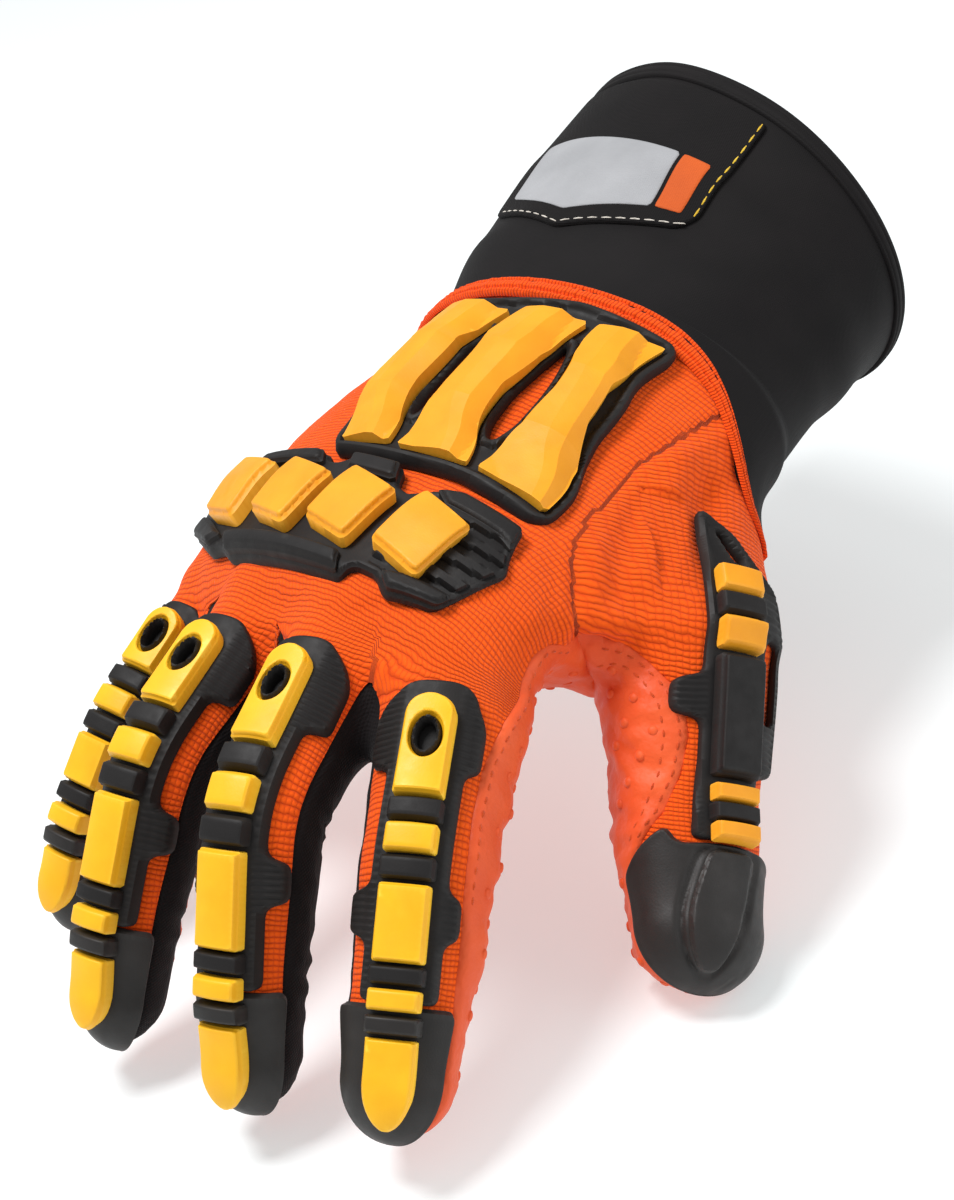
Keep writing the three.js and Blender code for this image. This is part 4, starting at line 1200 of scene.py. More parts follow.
grips = grip_places()
for name, (nodes, limits) in regions.items():
    data, faces = panel(limits)
    material, slot, swell = panel_paint[name]
    solid = grown(data, faces, swell, LEATHER_TUCK if material is LEATHER_PAINT else KNIT_TUCK)
    parts = [solid]
    flat_weave = weave_of(data)
    if material is LEATHER_PAINT:
        chosen = grips[(thumb_side[grips] > 0) == (name == "thumb_leather_front")]
        at = raised[chosen] + skin_normal[chosen] * swell
        dots = domes(at, skin_normal[chosen], GRIP_RADIUS, GRIP_HEIGHT)
        parts.append(dots)
        flat_weave = np.concatenate([flat_weave, np.zeros((len(dots[0]), 3))])
    piece(name, parts, material, nodes, {"weave": flat_weave}, sharp=60)

# Stitching: two rows inside the thumb leather's edge, and one inside the leather's edge on the index
on_thumb = (thumb_side > 1) & (spots["thumb"][0] < 44) & (palm_y < -30)
on_index = (thumb_side < -1) & (palm_y < -60) & (spots["index"][0] < 56) & (skin[:, 0] > 8)
rows = []
for inset in (1.6, 4.4):
    rows += contour(leather_field - inset, on_thumb)
rows += contour(leather_field - 1.7, on_index)
sewn = [stitches(line, ways, 1.9, 0.9, 0.3, 0.26, LEATHER_SWELL) for line, ways in rows]
piece("leather_stitching", sewn, ORANGE_THREAD, [], sharp=60)

data, faces = panel([-leather_field, side_field, pair + 1])
for number, node in enumerate(("index_middle", "middle_ring", "ring_little")):
    chosen = np.abs(data[faces, -1].mean(1) - 1 - number) < 0.5
    part, part_faces = keep(data, faces, chosen)
    solid = grown(part[:, :-1], part_faces, -0.1, 0.5)
    piece(f"side_{node}", [solid], DARK_LINING, [f"fourchette_{node}"], sharp=60)


# The cuff, its bound edge and the wrist hem


def ring_sheet(surface, ys, count, top, bottom):
    """A closed ring over a tube: heights are functions of y and turn."""
    around = np.linspace(-math.pi, math.pi, count, endpoint=False)
    y, angle = np.meshgrid(ys, around, indexing="ij")
    outer = surface.point(y, angle, top(y, angle)).reshape(-1, 3)
    inner = surface.point(y, angle, bottom(y, angle)).reshape(-1, 3)
    rows = len(ys)
    i, j = np.meshgrid(np.arange(rows - 1), np.arange(count), indexing="ij")
    a = (i * count + j).ravel()
    b = (i * count + (j + 1) % count).ravel()
    faces = np.concatenate([np.stack([a, b, b + count], 1), np.stack([a, b + count, a + count], 1)])
    points, faces = close_sheet(outer, inner, faces)
    mid = points[faces]
    volume = (np.cross(mid[:, 0], mid[:, 1]) * mid[:, 2]).sum()
    return points, (faces if volume > 0 else faces[:, ::-1])


MOUTH = CUFF[-1][0]


def cuff_folds(y, angle):
    """Soft vertical and slanting folds in the neoprene."""
    place = surface_noise(y, angle)
    lean = angle - math.radians(58) - 0.006 * (y - 10)
    fold = -0.9 * np.exp(-(lean / 0.16) ** 2) * smooth(y, -8, 4) * (1 - smooth(y, 26, 50))
    ridge = 0.6 * np.exp(-((lean + 0.32) / 0.2) ** 2) * smooth(y, -6, 6) * (1 - smooth(y, 20, 40))
    slope = 0.7 * np.exp(-(((y - 8 - 9 * np.cos(angle - 0.2)) / 4.5) ** 2))
    slope = slope * np.exp(-((angle + 0.1) / 0.9) ** 2)
    return fold + ridge + slope + 0.35 * place


def surface_noise(y, angle):
    spot = np.stack([y.ravel(), np.cos(angle).ravel() * 45, np.sin(angle).ravel() * 45], 1)
    return noise(spot, 34, 12).reshape(y.shape)


cuff_ys = np.linspace(-8.7, MOUTH, 60)
cuff_part = ring_sheet(
    cuff, cuff_ys, 240,
    lambda y, a: cuff_folds(y, a) - 0.8 * (1 - smooth(MOUTH - y, 0, 1.2)),
    lambda y, a: cuff_folds(y, a) - CUFF_WALL + 0.8 * (1 - smooth(MOUTH - y, 0, 1.2)),
)
piece("cuff_body", [cuff_part], NEOPRENE, ["gauntlet_cuff"], sharp=50)

BINDING = 5.0


def arched(share):
    """A band's rounded section: 0 at both edges and 1 between them."""
    return np.sqrt(np.maximum(0, 1 - (2 * share - 1) ** 4))


def binding_top(y, angle):
    share = np.clip((MOUTH + 0.5 - y) / (BINDING + 0.5), 0, 1)
    groove = np.exp(-((MOUTH - y - 1.6) / 0.35) ** 2) + np.exp(-((MOUTH - y - 3.8) / 0.35) ** 2)
    return cuff_folds(y, angle) + 0.15 + arched(share) - 0.3 * groove


binding_part = ring_sheet(
    cuff, np.linspace(MOUTH - BINDING, MOUTH + 0.5, 24), 240, binding_top,
    lambda y, a: cuff_folds(y, a) - 0.1,
)
piece("cuff_edge", [binding_part], NEOPRENE, ["cuff_binding"], sharp=60)

# The hem round the wrist: turns in degrees, the y of its middle and its width
HEM_TURNS = [-180, -120, -80, -41, 0, 27, 40, 50, 60, 75, 95, 130, 165, 180]
HEM_MIDDLES = [-14, -12, -10.6, -10.4, -12.4, -13.4, -15.4, -17.6, -20.5, -25, -29.5, -31, -21, -14]
HEM_STEPS = 720
HEM_WIDTHS = [2.4, 3.4, 5.6, 5.8, 5.8, 5.6, 5, 3.6, 2.6, 2.2, 2.2, 2.2, 2.2, 2.4]


class Wrist:
    """The palm's surface round the wrist, placed by a share of a band's width instead of y."""

    def __init__(self, y_of):
        self.y_of = y_of

    def point(self, share, angle, h):
        y = self.y_of(share, angle)
        base = palm.point(y, angle, 0)
        out = palm.point(y, angle, 1) - base
        rise = rise_to_skin(base.reshape(-1, 3), out.reshape(-1, 3)).reshape(y.shape)
        return base + out * (rise + h)[..., None]


def hem_table(angle, values):
    """A value from the hem's table at a turn, evened out over the turns beside it."""
    turned = [np.degrees(angle) + step for step in (-8, -4, 0, 4, 8)]
    return sum(np.interp(degrees_round, HEM_TURNS, values, period=360) for degrees_round in turned) / 5


def hem_top(share, angle):
    arch = arched(share)
    arc = angle * 42
    slim = hem_table(angle, HEM_WIDTHS) / 5.8
    gather = np.sin(arc * 2.1 + 2.6 * np.sin(arc * 0.37)) * (0.6 + 0.4 * np.sin(arc * 0.53 + 1))
    lines = np.exp(-((share - 0.27) / 0.06) ** 2) + np.exp(-((share - 0.73) / 0.06) ** 2)
    pucker = np.exp(-((share - 0.27) / 0.16) ** 2) + np.exp(-((share - 0.73) / 0.16) ** 2)
    raised_arch = (0.5 + 0.8 * slim) * arch + 0.3 * slim * gather * pucker * arch
    return 1.0 + raised_arch - (0.25 + 0.65 * slim) * lines


hem_shares = np.linspace(0, 1, 30)
hem_surface = Wrist(
    lambda share, angle: hem_table(angle, HEM_MIDDLES) + (share - 0.5) * hem_table(angle, HEM_WIDTHS)
)
hem_part = ring_sheet(hem_surface, hem_shares, HEM_STEPS, hem_top, lambda y, a: 0.5 + 0 * y)
hem_angles = np.linspace(-math.pi, math.pi, HEM_STEPS, endpoint=False)
share, angle = np.meshgrid(hem_shares, hem_angles, indexing="ij")
hem_weave = np.stack([share.ravel() * 6, angle.ravel() * 42, 0 * share.ravel()], 1)
piece(
    "wrist_band", [hem_part], HEM_KNIT, ["wrist_hem"],
    {"weave": np.concatenate([hem_weave, hem_weave])}, sharp=60,
)

# Neoprene between the hem and the cuff, which reaches furthest on the palm's side
layer_surface = Wrist(lambda share, angle: hem_table(angle, HEM_MIDDLES) * (1 - share) - 8.3 * share)
layer_part = ring_sheet(
    layer_surface, np.linspace(0, 1, 24), 240,
    lambda share, a: 0.15 + 1.4 * (1 - smooth(share, 0.75, 1)), lambda share, a: 0 * share - 1.2,
)
piece("wrist_layer", [layer_part], NEOPRENE, ["gauntlet_cuff"], sharp=60)


# Moulded pieces: an outline on a surface, raised by a height over every place of it


def rounded(corners, radius, steps=5):
    """An outline with its corners rounded by curves."""
    points = np.array(corners, float)
    out = []
    for i, corner in enumerate(points):
        before, after = points[i - 1] - corner, points[(i + 1) % len(points)] - corner
        long_before, long_after = np.linalg.norm(before), np.linalg.norm(after)
        a = corner + before / long_before * min(radius, long_before * 0.45)
        b = corner + after / long_after * min(radius, long_after * 0.45)
        for t in np.linspace(0, 1, steps):
            out.append(a * (1 - t) ** 2 + 2 * corner * t * (1 - t) + b * t * t)
    return np.array(out)


def inside_distance(x, y, outline):
    """How far inside an outline, in millimetres: negative outside."""
    best = np.full(x.shape, 1e9)
    inside = np.zeros(x.shape, bool)
    for a, b in zip(outline, np.roll(outline, -1, 0)):
        run = b - a
        if run @ run < 1e-12:
            continue
        share = np.clip(((x - a[0]) * run[0] + (y - a[1]) * run[1]) / (run @ run), 0, 1)
        best = np.minimum(best, np.hypot(x - a[0] - share * run[0], y - a[1] - share * run[1]))
        crosses = (a[1] > y) != (b[1] > y)
        at = a[0] + (y - a[1]) * run[0] / np.where(run[1] == 0, 1e-12, run[1])
        inside ^= crosses & (x < at)
    return np.where(inside, best, -best)


def ellipse(across, along, wide, long, count=28):
    turns = np.linspace(0, 2 * math.pi, count, endpoint=False)
    return np.stack([across + wide * np.sin(turns), along + long * np.cos(turns)], 1)


def strip(rows):
    """An outline from rows of along, width to the right, width to the left."""
    right = [(wide[0], along) for along, *wide in rows]
    left = [(-wide[-1], along) for along, *wide in rows][::-1]
    return right + left


def relief(place, outline, height, low, step=0.6, step_along=None, holes=(), creases=(), levels=()):
    """A closed solid over an outline. height(x, y, e) gives its top, e millimetres inside the edge."""
    step_along = step_along or step
    lowest, highest = outline.min(0) - step, outline.max(0) + step
    xs = np.arange(lowest[0], highest[0] + step, step)
    ys = np.arange(lowest[1], highest[1] + step_along, step_along)
    x, y = (m.ravel() for m in np.meshgrid(xs, ys, indexing="ij"))
    rows = len(ys)
    i, j = (m.ravel() for m in np.meshgrid(np.arange(len(xs) - 1), np.arange(rows - 1), indexing="ij"))
    a = i * rows + j
    slant = (i + j) % 2 == 0
    first = np.where(
        slant[:, None], np.stack([a, a + rows, a + rows + 1], 1), np.stack([a, a + rows, a + 1], 1)
    )
    second = np.where(
        slant[:, None], np.stack([a, a + rows + 1, a + 1], 1), np.stack([a + rows, a + rows + 1, a + 1], 1)
    )
    faces = np.concatenate([first, second])

    def edge_of(x, y):
        edge = inside_distance(x, y, outline)
        for hole in holes:
            edge = np.minimum(edge, -inside_distance(x, y, hole))
        return edge

    edge = edge_of(x, y)
    near = np.abs(edge) < 0.3 * min(step, step_along)
    for _ in range(2):
        tiny = 0.02
        dx = (edge_of(x[near] + tiny, y[near]) - edge_of(x[near] - tiny, y[near])) / (2 * tiny)
        dy = (edge_of(x[near], y[near] + tiny) - edge_of(x[near], y[near] - tiny)) / (2 * tiny)
        off = edge_of(x[near], y[near])
        x[near] -= dx * off
        y[near] -= dy * off
    edge[near] = 0
    data = np.stack([x, y], 1)
    data, faces, edge = split(data, faces, edge)
    inside = edge[faces].sum(1) > 1e-9
    data, faces = keep(np.concatenate([data, edge[:, None]], 1), faces, inside)
    for crease in creases:
        value = crease(data[:, 0], data[:, 1])
        value[np.abs(value) < 0.06] = 0
        data, faces, _ = split(data, faces, value)
    for level in levels:
        value = data[:, 2] - level
        value[np.abs(value) < 0.05] = 0
        data, faces, _ = split(data, faces, value)
    x, y, edge = data.T
    edge = np.where(edge < 1e-6, 0, edge)
    top = place(x, y, height(x, y, edge))
    bottom = place(x, y, np.broadcast_to(low, x.shape))
    points, faces = close_sheet(top, bottom, faces)
    mid = points[faces] - points.mean(0)
    volume = (np.cross(mid[:, 0], mid[:, 1]) * mid[:, 2]).sum()
    return points, (faces if volume > 0 else faces[:, ::-1])


def rim(edge, rise, draft=0.35, bevel=0.7):
    """The height of a moulded edge: a steep wall, then a rounded shoulder up to the top."""
    wall = 0.62 + 0.13 * np.clip(edge / draft, 0, 1)
    turned = np.clip((edge - draft) / bevel, 0, 1)
    return rise * (wall + 0.25 * np.sqrt(1 - (1 - turned) ** 2))


EDGE_LEVELS = (0.12, 0.35, 0.6, 1.05)


def flat_top(low, top, draft=0.35, bevel=0.7):
    return lambda x, y, edge: low + rim(edge, top - low, draft, bevel)


def rounded_strip(start, end, wide, round_start, round_end, count=7):
    """A strip with round or square ends, as an outline."""
    ease = np.linspace(0, math.pi / 2, count)
    ends = []
    for at, way, is_round in ((start, 1, round_start), (end, -1, round_end)):
        if is_round:
            ends.append([
                (at + way * wide * 0.85 * (1 - math.sin(t)), max(wide * math.cos(t), 0.6))
                for t in ease[::-1]
            ])
        else:
            ends.append([(at, wide)])
    return np.array(strip(ends[0] + ends[1][::-1]))


# The guard over the back of the hand: outlines as arc from the middle of the back, and y

BACK_SEAT = 0.5
BACK_BASE = 2.4
BACK_TOP = 6.6
BACK_FRAME = [
    (-25, -18), (-13, -18), (6, -15.5), (29, -17), (31.5, -20.5), (31, -32), (36.5, -45), (43.5, -56),
    (46.5, -68), (43.5, -70), (24.5, -68.5), (7.6, -69.5), (-11, -69.5), (-14, -66), (-20, -44),
]
BACK_WINDOWS = [
    [
        (12.2, -27.5), (14.5, -34), (19.4, -44), (22.6, -52), (22, -58), (18, -52.5), (13.3, -43),
        (11.6, -35),
    ],
    [(-7.2, -27.5), (-5.5, -35), (-0.4, -46), (1.2, -57), (-4, -47.5), (-8.4, -36)],
]
BACK_PLATES = [
    [
        (14.6, -22), (28.2, -20), (27.6, -36), (32.5, -45.5), (40.3, -54.5), (43.6, -67), (25.6, -65.6),
        (25.4, -53), (21.5, -42.5), (16.8, -33),
    ],
    [
        (-2, -22.5), (11.8, -21.5), (10.6, -35), (12.6, -45), (17, -54.5), (23.2, -65.8), (5.6, -66.4),
        (4.2, -52), (0.6, -42), (-3, -33),
    ],
    [(-21.5, -22), (-6, -22.8), (-9.6, -35), (-5.4, -48), (2.6, -66), (-10, -67), (-16, -48)],
]
# The crests of each plate, from its wrist end to its finger end: y, left crest, right crest, height
PLATE_CRESTS = [
    [(-20, 19, 22, 5.2), (-36, 21.5, 25.5, 7.2), (-52, 30.5, 34, 7.4), (-68, 40, 42, 4.6)],
    [(-20, 2, 6, 5.2), (-36, 2.5, 6.5, 7.2), (-52, 9, 12.5, 7.4), (-68, 18, 20, 4.6)],
    [(-20, -17, -12, 5.2), (-36, -17, -12.5, 7.2), (-52, -10.5, -7, 7.4), (-68, -2, 0, 4.6)],
]
frame_outline = rounded(BACK_FRAME, 2.2)
window_outlines = [rounded(window, 2.5) for window in BACK_WINDOWS]
plate_outlines = [rounded(outline, 0.6, 3) for outline in BACK_PLATES]


def frame_top(x, y, edge):
    border = np.exp(-((edge - 1.45) / 0.9) ** 4)
    near_plate = np.max([inside_distance(x, y, outline) for outline in plate_outlines], axis=0)
    border = border * (1 - smooth(near_plate, -0.9, -0.3))
    return BACK_SEAT + rim(edge, BACK_BASE - BACK_SEAT, 0.2, 0.5) + 1.3 * border


piece("back_frame", [
    relief(
        palm.place, frame_outline, frame_top, BACK_SEAT, 0.7, holes=window_outlines, levels=(0.3, 0.9, 2.2),
    ),
], BLACK_RUBBER, ["back_guard"])


def crest_lines(y, crest):
    """The places of a plate's two crests and their height, at y."""
    crest = np.array(crest)
    return [np.interp(-y, -crest[:, 0], crest[:, column]) for column in (1, 2, 3)]


for number, (outline, crest) in enumerate(zip(plate_outlines, PLATE_CRESTS)):
    def plate_top(x, y, edge, crest=crest):
        left, right, high = crest_lines(y, crest)
        high = high + 0.5 - 0.2 * np.maximum(0, left - x) - 0.75 * np.maximum(0, x - right)
        low = BACK_BASE + 0.2
        return low + np.minimum(rim(edge, BACK_TOP - low + 2, 0.3, 0.3), np.maximum(high - low, 1.4))

    creases = [lambda x, y, crest=crest, k=k: x - crest_lines(y, crest)[k] for k in (0, 1)]
    creases += [lambda x, y, at=row[0]: y - at for row in crest[1:3]]
    part = relief(
        palm.place, outline, plate_top, BACK_BASE + 0.2, 0.7, creases=creases, levels=(0.15, 0.3, 0.45, 0.6)
    )
    piece(
        f"plate_{number + 1}", [part], AMBER_RUBBER, [f"back_plate_{number + 1}"], sharp=9
    )

# The guard over the knuckles, with four plain raised blocks

KNUCKLE_SEAT = 0.6
KNUCKLE_BASE = 3.2
KNUCKLE_TOP = 7.4
KNUCKLE_FRAME = [
    (24.5, -74), (30, -72), (45.5, -72.2), (51.5, -82.5), (43, -97.5), (31.5, -100.5), (28, -97.5),
    (22, -97.5), (19, -101.5), (-19, -102), (-22, -100), (-28, -100.5), (-45, -92), (-45, -80),
    (-30, -71.2), (-9.5, -71), (-6.5, -73.5), (-3, -73.5), (-1, -71), (13, -71), (17, -76), (21.5, -77),
]
KNUCKLE_BLOCKS = [(31.5, -86.5), (13.2, -86.5), (-4.5, -86.8), (-24.5, -85)]
BLOCK = [(-8.5, -6.5), (4.5, -9.4), (8.5, 6.5), (-5, 9.4)]
KNUCKLE_TABS = [
    [(-0.6, -71.4), (12.6, -71.4), (16.6, -76.2), (2.6, -76.2)],
    [(-29, -71.8), (-9.9, -71.5), (-5.5, -75.6), (-30, -75.8)],
    [(-20.5, -96.9), (17.6, -96.9), (18.6, -101.1), (-18.8, -101.6)],
    [(28.6, -96.9), (31.7, -99.9), (42.6, -97.1), (44.5, -93.6), (34, -95)],
    [(26, -74.4), (30.4, -72.6), (45, -72.8), (48.2, -78.2), (44, -77), (31, -77)],
    [(-44, -92), (-27.5, -99.6), (-24, -97), (-38, -89)],
]


def knuckle_top(x, y, edge):
    grooves = smooth(np.cos(2 * math.pi * (y - 0.12 * x + 3) / 4.9), -0.15, 0.2)
    end = smooth(x, 24, 25.5) * smooth(edge, 1.3, 1.8)
    return KNUCKLE_SEAT + rim(edge, KNUCKLE_BASE - KNUCKLE_SEAT, 0.3, 0.6) + 1.5 * end * (grooves - 0.2)


parts = [relief(
    palm.place, rounded(KNUCKLE_FRAME, 1.6), knuckle_top, KNUCKLE_SEAT, 0.5, levels=(0.3, 0.9, 1.3, 1.8)
)]
for tab in KNUCKLE_TABS:
    parts.append(relief(
        palm.place, rounded(tab, 0.9), flat_top(KNUCKLE_BASE - 0.6, 5.2, 0.5, 0.6), KNUCKLE_BASE - 0.6, 0.7,
        levels=EDGE_LEVELS,
    ))
piece("knuckle_base", parts, BLACK_RUBBER, ["knuckle_guard"])
for number, (arc, y) in enumerate(KNUCKLE_BLOCKS):
    outline = rounded([(arc + a, y + b) for a, b in BLOCK], 1.6)
    low = KNUCKLE_BASE + 0.15
    part = relief(
        palm.place, outline, flat_top(low, KNUCKLE_TOP + 0.4, 0.6, 0.5), low, 0.6,
        levels=(0.3, 0.6, 0.65, 0.75, 0.9, 1.1),
    )
    node = f"knuckle_block_{number + 1}"
    piece(f"raised_block_{number + 1}", [part], AMBER_RUBBER, [node])

# The guards down the fingers

WINGS = {"index": (10.5, 12.6), "middle": (12.4, 12.4), "ring": (12.4, 12.4), "little": (12.4, 12.4)}
SPINE = 7.4
HALF_PAD = 4.8
RIB = 1.3


def guard_top(x, y, edge, spine=SPINE):
    border = smooth(np.abs(x), HALF_PAD + 0.1, HALF_PAD + 0.5)
    border = border * (1 - smooth(np.abs(x), spine - 0.5, spine + 0.1))
    ribs = 0.5 + 0.5 * np.cos(2 * math.pi * y / RIB)
    wing = smooth(np.abs(x), HALF_PAD + 0.7, HALF_PAD + 1.3) * smooth(edge, 0.5, 1.0)
    return SEAT + rim(edge, BASE_TOP - SEAT, 0.15, 0.5) + 0.25 * border - 0.3 * wing * (1 - ribs)


def collar(place, at, half, top, low=BASE_TOP - 0.5, wide=HALF_PAD + 0.4, off=0):
    widths = (wide + off, wide - off)
    outline = rounded(strip([(at - half, *widths), (at + half, *widths)]), 0.5, 3)
    return relief(place, outline, flat_top(low, top, 0.2, 0.55), low, 0.5, levels=(0.2, 0.4, 0.75))


def pad_part(place, outline, top=PAD_TOP, low=PAD_LOW, holes=()):
    levels = (0.12, 0.3, 0.42, 0.65)
    return relief(place, outline, flat_top(low, top, 0.3, 0.35), low, 0.6, holes=holes, levels=levels)


def ring_part(place, across, along, wide, long, low, top):
    """A raised oval ring with an open middle."""
    return relief(
        place, ellipse(across, along, wide, long), flat_top(low, top, 0.2, 0.4), low, 0.4,
        holes=[ellipse(across, along, wide - 1.0, long - 1.1)],
    )


CAP_TURNS = {
    "index": (-66, 56), "middle": (-66, 66), "ring": (-66, 66), "little": (-66, 66), "thumb": (-92, 100),
}


def cap_part(digit, start, name, low, top, shoulder=()):
    """A cap over a tip, between two turns. The shoulder is its upper edge, as across and along."""
    left, right = (math.radians(value) * 12 for value in CAP_TURNS[name])
    end = digit.tip + 6
    shoulder = shoulder or [(left, start), (right, start)]
    outline = rounded([(right, end), (left, end), *shoulder], 2.0)

    def place(across, along, h):
        return digit.point(np.minimum(along, digit.tip), across / 12, h)

    def height(x, y, edge):
        lip = np.exp(-((edge - 0.9) / 0.5) ** 2) * 0.12
        return low + (top - low) * (0.45 + 0.55 * smooth(edge, 0, 0.7)) + lip

    shaped = callable(top)
    step = 0.45 if shaped else 0.7
    return relief(place, outline, top if shaped else height, low, step, levels=(0.2, 0.7))


for name in ("index", "middle", "ring", "little"):
    digit = digits[name]
    place = digit.place
    _, second, last = digit.joints
    size = DIGITS[name]["bones"][0] / 46
    slim = 0.85 if name == "little" else 1
    start = 15.5 * size
    right, left = WINGS[name]
    rows = [
        (start, 4.5, 4.5), (start + 2, 7.5, 7.5),
        (start + 4.5, right - 2, left - 2), (start + 8, right, left),
        (second - 14, right, left), (second - 12.5, SPINE, SPINE), (second + 7, SPINE, SPINE),
        (second + 8.5, right, left), (second + 15.5, right, left), (second + 17, SPINE, SPINE),
        (last + 0.6, SPINE, SPINE),
    ]
    outline = rounded(strip([(s, a * slim, b * slim) for s, a, b in rows]), 1.8, 4)
    parts = [relief(place, outline, lambda x, y, e: guard_top(x, y, e, SPINE * slim), SEAT, 0.8, 0.325)]
    parts += [collar(place, s, 1.7, BAND_TOP) for s in (second - 4.2, second + 4.2, last - 4.2)]
    pad_start = 19.6 * size
    hole_at = pad_start + 8.8 * size
    parts.append(ring_part(place, 0, hole_at, 2.8, 4.2, BASE_TOP - 0.5, PAD_TOP + 0.15))
    piece(f"{name}_guard_rubber", parts, BLACK_RUBBER, [f"{name}_guard"])
    hole = ellipse(0, hole_at, 2.95, 4.35)
    cap_from = last + 1.1
    cap_top = 0.3 + CAP_WALL
    yellow = {
        "knuckle_pad": pad_part(
            place, rounded_strip(pad_start, second - 6.5, HALF_PAD, True, False), holes=[hole],
        ),
        "middle_band": collar(place, second, 2.0, PAD_TOP, PAD_LOW, HALF_PAD + 0.1),
        "middle_pad": pad_part(
            place, rounded(strip([(second + 6.6, HALF_PAD), (last - 6.4, HALF_PAD)]), 0.5, 3),
        ),
        "last_band": collar(place, last + 0.2, 1.9, PAD_TOP, PAD_LOW, HALF_PAD + 0.1),
        "tip_pad": pad_part(
            place, rounded_strip(last + 7, last + 19 * size ** 0.5, HALF_PAD - 0.1, False, True),
            PAD_TOP - 0.8, cap_top + 0.2,
        ),
    }
    for key, part in yellow.items():
        piece(f"{name}_{key}_rubber", [part], LEMON_RUBBER, [f"{name}_{key}"])
    piece(f"{name}_cap", [
        cap_part(digit, cap_from, name, 0.1, cap_top),
        collar(place, last + 4.6, 1.7, BAND_TOP, cap_top - 0.4),
    ], GREY_RUBBER, [f"{name}_tip_cap"])

# The guard down the thumb

thumb = digits["thumb"]
THUMB_LINE = 2


def thumb_place(across, along, h):
    """On the thumb, but outside the fabric where that spreads into the palm."""
    across, along, h = np.broadcast_arrays(*(np.asarray(v, float) for v in (across, along, h)))
    base = thumb.place(across, along, 0)
    out = thumb.place(across, along, 1) - base
    rise = rise_to_skin(base, out) * (1 - smooth(along, 12, 24))
    return base + out * (rise + h)[:, None]


THUMB_ROWS = [
    (-20.5, -3, 5), (-16.5, 3.4, 4.8), (-12, 6.6, 4.6), (-8.5, 9.6, 4.4), (-6, 15, 4.4),
    (9.5, 16, 4.6), (11, 16, 11),
    (17.5, 16, 11), (19, 16, 4.8), (27.5, 16, 4.8), (29, 8.5, 5), (45, 8, 6),
]
slot_hole = rounded([(-1.2, -16.2), (0.6, -15.6), (4.6, -10), (4.2, -8.6), (2.2, -9.2)], 0.8, 4)
side_window = rounded([(9.6, 2), (13.4, 2.5), (13.4, 17.5), (9.6, 18)], 1.5, 4)


def thumb_top(x, y, edge):
    ribs = 0.5 + 0.5 * np.cos(2 * math.pi * y / RIB)
    wing = smooth(np.abs(x - THUMB_LINE), 6.2, 6.9) * smooth(edge, 0.6, 1.1)
    lip = np.exp(-((edge - 0.9) / 0.7) ** 2) * (1 - smooth(y, -8, -4)) * 0.7
    return SEAT + rim(edge, BASE_TOP - SEAT, 0.15, 0.5) - 0.34 * wing * (1 - ribs) + lip


piece("thumb_guard_rubber", [
    relief(
        thumb_place, rounded(strip(THUMB_ROWS), 2.0, 4), thumb_top, SEAT, 0.8, 0.325,
        holes=[slot_hole, side_window],
    ),
    collar(thumb_place, -0.8, 1.6, BAND_TOP, off=THUMB_LINE),
    collar(thumb_place, 39.2, 2.3, BAND_TOP, off=THUMB_LINE),
    relief(
        thumb_place, rounded(strip([(6.3, 7.1, 3.1), (30.7, 7.1, 3.1)]), 0.8),
        flat_top(1.7, PAD_TOP + 0.6, 0.5, 0.5),
        1.7, 0.6, levels=(0.2, 0.5, 0.7, 1.0),
    ),
], BLACK_RUBBER, ["thumb_guard"])
for number, s in enumerate((-4.6, 3.2, 34.4, 44)):
    part = collar(thumb_place, s, 2.1, PAD_TOP, PAD_LOW, HALF_PAD + 0.2, THUMB_LINE)
    piece(f"thumb_yellow_{number + 1}", [part], AMBER_RUBBER, [f"thumb_band_{number + 1}"])
thumb_cap_top = 0.3 + CAP_WALL
tongue = rounded(strip([(47.6, 7, 3.2), (58, 4.6, 7), (63.5, 2, 8), (66.8, -0.8, 6.4)]), 2.0, 4)
shoulder = [(-19.3, 50), (-14, 45), (-9, 41.6), (-7.4, 45.8), (8.5, 45.8), (20.9, 49)]


def thumb_cap_height(x, y, edge):
    """The cap's top, with a groove round the tongue."""
    gap = inside_distance(x, y, tongue)
    lip = np.exp(-((edge - 0.9) / 0.5) ** 2) * 0.12
    groove = 0.8 * np.exp(-((gap + 0.7) / 0.7) ** 2)
    return 0.1 + thumb_cap_top * (0.45 + 0.55 * smooth(edge, 0, 0.7)) + lip - groove


piece("thumb_cap", [
    cap_part(thumb, 45.6, "thumb", 0.1, thumb_cap_height, shoulder),
    relief(
        thumb.place, tongue, flat_top(0.9, thumb_cap_top + 1.2, 0.3, 0.5), 0.9, 0.6, levels=(0.3, 0.5, 0.8),
    ),
], GREY_RUBBER, ["thumb_tip_cap"])

# The label on the cuff, left blank

LABEL = [(19, 54), (16, 21), (13, 16), (-16, 8), (-44, 18), (-46, 54)]
LABEL_FIELD = [(4.5, 35), (4.5, 18.5), (-16, 13), (-38, 20), (-38, 35)]
LABEL_BAR = [(13, 35), (12, 19.5), (5.5, 18.8), (5.5, 35)]


def on_cuff(arc, y, h):
    angle = cuff.table(y, arc, cuff.turns, cuff.arcs)
    return cuff.point(y, angle, h + cuff_folds(y, angle))


